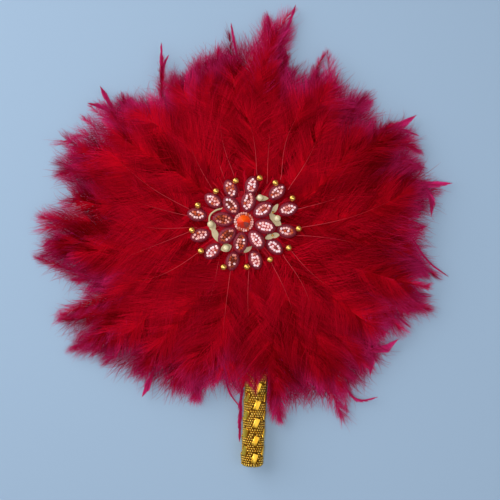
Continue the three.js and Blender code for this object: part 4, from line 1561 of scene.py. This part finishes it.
# %% Tufts
# A tuft: three places in mm, then the length of its barbs and its tone.
TUFTS = [
    ((-45, 112), (-48, 134), (-48, 153), 26, 0.45),
    ((-30, 122), (-31, 145), (-30, 165), 24, 0.5),
    ((-79, 110), (-79, 136), (-79, 158), 9, 0.2),
    ((-104, 94), (-111, 109), (-116, 122), 22, 0.2),
    ((-132, 54), (-156, 54), (-176, 50), 28, 0.35),
    ((-140, 8), (-168, 9), (-191, 12), 26, 0.3),
    ((-122, -40), (-160, -34), (-197, -22), 15, 0.3),
    ((-124, -70), (-152, -76), (-175, -79), 18, 0.25),
    ((-118, -86), (-142, -97), (-163, -105), 26, 0.3),
    ((-44, -128), (-50, -142), (-52, -152), 22, 0.6),
    ((15, -110), (16, -136), (16.5, -162), 13, 0.5),
    ((16, -134), (21, -155), (26, -172), 16, 0.6),
    ((118, -56), (142, -65), (161, -71), 22, 0.5),
    ((124, -24), (144, -34), (158, -41), 20, 0.55),
    ((110, -8), (136, -2), (154, 4), 20, 0.5),
    ((122, 56), (138, 59), (152, 57), 26, 0.6),
    ((118, 74), (136, 76), (151, 70), 24, 0.5),
    ((84, 102), (96, 110), (106, 116), 20, 0.6),
    ((54, 116), (56, 130), (57, 142), 22, 0.3),
    ((14, 150), (16, 172), (15, 192), 24, 0.5),
    ((20, 150), (28, 172), (33, 186), 26, 0.6),
    ((4, -98), (3.5, -122), (2.5, -151), 10, 0.5),
]
SHEER = [
    ((-142, 84), (-155, 82), (-168, 76), 16, 0.4),
    ((70, -130), (76, -152), (81, -171), 15, 0.5),
    ((78, -132), (82, -150), (84, -166), 9, 0.5),
    ((66, 128), (67, 147), (66, 163), 15, 0.5),
    ((-126, 96), (-138, 106), (-148, 114), 10, 0.4),
    ((-136, 88), (-146, 98), (-153, 104), 10, 0.4),
]
TUFT_SHORT = 8
TUFT_SHAPE = {"taper": 0.4, "open": 34, "shut": 14, "curl": 10, "barbs": 216, "crowd": 1.3}
TUFT_SHAPE |= {"beyond": 15, "haze": 0.4, "quill": 0.08, "wide": 0.28, "veil": 0.05, "pull": 0.4}
TUFT_SHAPE |= {"loose": 1.5, "trim": False}
SHEER_SHAPE = TUFT_SHAPE | {"barbs": 72, "wide": 0.2, "veil": 0.5, "haze": 1}
tufts = [(line, TUFT_SHAPE) for line in TUFTS] + [(line, SHEER_SHAPE) for line in SHEER]
for (base, between, tip, barb, tone), shape in tufts:
    home = home_of(bearing_of(between))
    line = along_arc(base, between, tip)
    line["reach"] -= TUFT_SHORT
    families[home].append(plume_values(layer=home[0], barb=barb, tone=tone, **line, **shape))
print("tufts:", len(TUFTS), "and sheer ones:", len(SHEER))

# %% [markdown]
# ## Stubs, under plumes and quills
#
# Round the brooch the ends of the quills show as short stubs with hardly any barbs. Under plumes
# close the gaps of the back ring, and a crown of shorter plumes fills the front. Last come the
# plumes on top, whose quills can be seen: each is laid in an arc through three places.

# %% Stubs round the brooch
STUBS, STUB_START, STUB_END = 30, (19, 25), (38, 52)
STUB_ASIDE, STUB_TONES, STUB_SWAY = 0.4, (0.5, 1), 1
STUB_SHAPE = {"bend": 0, "taper": 0.5, "open": 12, "shut": 8, "curl": 4, "barb": 7, "barbs": 72}
STUB_SHAPE |= {"wide": 0.4, "quill": 0.35, "proud": 0.2, "rise": 0, "roll": 0, "lift": 0, "trim": False}
STUB_SHAPE |= {"from": (centre.x, centre.y), "height": ([10, 44, 54], [20.7, 20.8, 20.6])}
for i in range(STUBS):
    bearing = 360 / STUBS * (i + rng.uniform(-STUB_ASIDE, STUB_ASIDE))
    home = home_of(bearing, ("front",))
    stub = STUB_SHAPE | {"start": rng.uniform(*STUB_START), "reach": rng.uniform(*STUB_END)}
    stub |= {"tone": rng.uniform(*STUB_TONES), "sway": rng.normal(0, STUB_SWAY)}
    families[home].append(plume_values(bearing, layer="top", **stub))
print("stubs:", STUBS)

# %% Under plumes and crown
UNDER_SHIFTS, UNDER_SPREAD, UNDER_SHORT = (-7, 7), 2, 20
CROWN, CROWN_SPREAD, CROWN_RAGGED = ((-7.5, 136), (7.5, 128)), 2.5, 8
for i, bearing in enumerate(back_bearings):
    for shift in UNDER_SHIFTS:
        place = bearing + shift + rng.normal(0, UNDER_SPREAD)
        reach = np.interp(place, *RIM, period=360) - UNDER_SHORT
        families[("back", i)].append(plume_values(place, reach, "back"))
for i, bearing in enumerate(front_bearings):
    for shift, reach in CROWN:
        place = bearing + shift + rng.normal(0, CROWN_SPREAD)
        reach = reach + rng.normal(0, CROWN_RAGGED)
        families[("front", i)].append(plume_values(place, reach, "crown"))
print("under plumes and crown:", RING * (len(UNDER_SHIFTS) + len(CROWN)))

# %% Plumes on top
QUILLS = [
    ((-55.4, 19.1), (-89.5, 38.5), (-123, 67.9)),
    ((-35.3, 37.1), (-43.3, 50.5), (-57, 82)),
    ((-24.6, 46.5), (-30.6, 63.9), (-34, 92)),
    ((-16.5, 49.9), (-25.2, 74.6), (-27.9, 109.5)),
    ((3.6, 51.9), (2.3, 70.6), (-3.8, 98.7)),
    ((13, 45), (13.6, 65), (17, 96)),
    ((25.3, 48), (28.5, 75), (43, 106)),
    ((33, 39), (46, 58.5), (59, 86)),
    ((37, 18.2), (52.1, 21.8), (95, 36)),
    ((36, 2), (89.6, 13.1), (133.5, 33)),
    ((38, -4), (70, -7), (108, -16)),
    ((33, -16.5), (43.1, -28.6), (78, -56)),
    ((28.4, -24.3), (44, -48), (54, -80)),
    ((17.4, -29.8), (23.5, -41.5), (38, -80)),
    ((-3, -33), (-4, -55), (-2, -92)),
    ((-19, -34), (-21.2, -50.8), (-26, -95)),
    ((-29.2, -25.4), (-33.3, -46.8), (-48, -90)),
    ((-47, -19), (-78, -38), (-112, -46.5)),
    ((-50, 1), (-96, -17.5), (-131, -30.7)),
    ((-52, 3), (-66, 2), (-110, 6)),
    ((-52, 12), (-74, 17), (-115, 30)),
]
QUILL_SHAPE = {"barb": 38, "lift": 0.02, "quill": 0.25, "proud": 2.0, "barbs": 432}
for places in QUILLS:
    home = home_of(bearing_of(places[1]), ("front",))
    families[home].append(plume_values(layer="top", **along_arc(*places), **QUILL_SHAPE))
print("plumes on top:", len(QUILLS), "plumes in all:", sum(map(len, families.values())))

# %% [markdown]
# ## Fringe
#
# Along the outline single barbs stand out of the mass. They are what makes the rim of a down fan
# fine and spiky, so a few dozen are set along each plume's stretch of the outline.

# %% Grow every ring and its fringe
FRINGE = {"front": 150, "back": 110}
FRINGE_LOOK = {"wide": 0.36, "haze": 1, "veil": 0.3}
FRINGE_HALF, FRINGE_KNOTS, FRINGE_LEAN, FRINGE_STRAY, FRINGE_CURL = 0.55, 9, 0.45, 0.25, 0.45
FRINGE_LONG, FRINGE_INSIDE, FRINGE_RISE, FRINGE_TONES = (9, 23), (9, 18), 0.8, (0, 0.4)


def grow_fringe(bearing, ring):
    """Single barbs that start a little inside the outline and end outside it."""
    count = FRINGE[ring]
    around = np.sort(rng.uniform(-FRINGE_HALF, FRINGE_HALF, count))
    turn = np.radians(bearing + 360 / RING * around)
    rim = np.interp(np.degrees(turn), *RIM, period=360)
    lean = FRINGE_LEAN * smooth_noise(around + FRINGE_HALF, FRINGE_KNOTS)
    lean = lean + rng.normal(0, FRINGE_STRAY, count)
    length = rng.uniform(*FRINGE_LONG, count)
    run = np.linspace(0, 1, BARB_POINTS)[None, :]
    heading = (turn + lean)[:, None] + rng.normal(0, FRINGE_CURL, (count, 1)) * run
    step = length[:, None] / (BARB_POINTS - 1) * np.where(run > 0, 1, 0)
    start = (rim - rng.uniform(*FRINGE_INSIDE, count))[:, None]
    x = start * np.sin(turn)[:, None] + np.cumsum(np.sin(heading) * step, axis=1)
    y = start * np.cos(turn)[:, None] + np.cumsum(np.cos(heading) * step, axis=1)
    distance = np.hypot(x - centre.x, y - centre.y)
    z = np.interp(distance, *LAYERS[ring][:2]) + rng.normal(0, FRINGE_RISE, (count, 1))
    laid = np.stack([x, y, np.maximum(z, FLOOR_CLEAR)], axis=-1)
    laid, shown = clear_of_grip(laid, ring == "front")
    shown &= inside_box(laid)
    return laid[shown], rng.uniform(*FRINGE_TONES, count)[shown], FRINGE_LOOK


plume_faces = []
for (ring, i), family in families.items():
    fringe = grow_fringe(homes[(ring, i)], ring)
    piece = plume_piece(f"{ring}_down_{i + 1:02d}", family, fringe)
    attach(piece, "root")
    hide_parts(f"{ring}_plume_{i + 1:02d}")
    plume_faces.append(len(piece.data.polygons))
print("plume quads:", sum(plume_faces), "most in a piece:", max(plume_faces))

# %% [markdown]
# ## Stage
#
# A plain pale floor, an even sky and three lamps: a large soft one on the left, a small one
# overhead that makes the jewels sparkle, and a soft one on the right that makes the gold glint.
# The camera looks straight down from high up, which is how the fan was seen: its round centre
# stone stays round.

# %% Floor, light and camera
FLOOR_COLOR, FLOOR_SIDE, FLOOR_HEIGHT = (0.39, 0.54, 0.74), 14, -0.0002
SKY_COLOR, SKY_STRENGTH = (0.95, 0.98, 1.0, 1), 0.27
SENSOR_WIDE = 36
PHOTO_SIDE = 500
MM_PER_PIXEL = 0.875
MIDDLE_PIXEL = (252.4, 230.8)
CAMERA_HEIGHT = 1.2
FOCUS_HEIGHT = 0.012

deselect()
bpy.ops.mesh.primitive_plane_add(size=FLOOR_SIDE, location=(0, 0, FLOOR_HEIGHT))
floor = bpy.context.object
floor.name = "floor"
floor_finish, _, _ = finish("pale_sheet", FLOOR_COLOR, 0.85, Specular_IOR_Level=0.1)
floor.data.materials.append(floor_finish)

# A lamp: its place in metres, its size, its power and its colour.
LAMPS = [
    ("window", (-0.90, 0.52, 0.62), 1.5, 11.6, (1.0, 0.98, 0.95)),
    ("sparkle", (-0.06, -0.12, 1.4), 0.3, 5.6, (1.0, 0.99, 0.96)),
    ("glint", (0.55, -0.25, 0.95), 0.7, 1.1, (1.0, 0.99, 0.96)),
]
for name, place, size, energy, color in LAMPS:
    bpy.ops.object.light_add(type="AREA", location=place)
    lamp = bpy.context.object
    lamp.name = name
    lamp.data.shape = "DISK"
    lamp.data.size = size
    lamp.data.energy = energy
    lamp.data.color = color
    lamp.rotation_euler = (-lamp.location).to_track_quat("-Z", "Y").to_euler()

world = bpy.context.scene.world or bpy.data.worlds.new("sky")
bpy.context.scene.world = world
world.use_nodes = True
sky = world.node_tree.nodes["Background"]
sky.inputs["Color"].default_value = SKY_COLOR
sky.inputs["Strength"].default_value = SKY_STRENGTH

camera_data = bpy.data.cameras.new("overhead")
camera = bpy.data.objects.new("overhead", camera_data)
bpy.context.collection.objects.link(camera)
half_side = PHOTO_SIDE / 2
camera.location = (
    (half_side - MIDDLE_PIXEL[0]) * MM_PER_PIXEL * MM,
    (MIDDLE_PIXEL[1] - half_side) * MM_PER_PIXEL * MM,
    CAMERA_HEIGHT,
)
camera_data.sensor_width = SENSOR_WIDE
camera_data.lens = SENSOR_WIDE * (CAMERA_HEIGHT - FOCUS_HEIGHT) / (PHOTO_SIDE * MM_PER_PIXEL * MM)
bpy.context.scene.camera = camera
bpy.context.scene.view_settings.view_transform = "Standard"
print("camera at", tuple(round(v, 3) for v in camera.location))
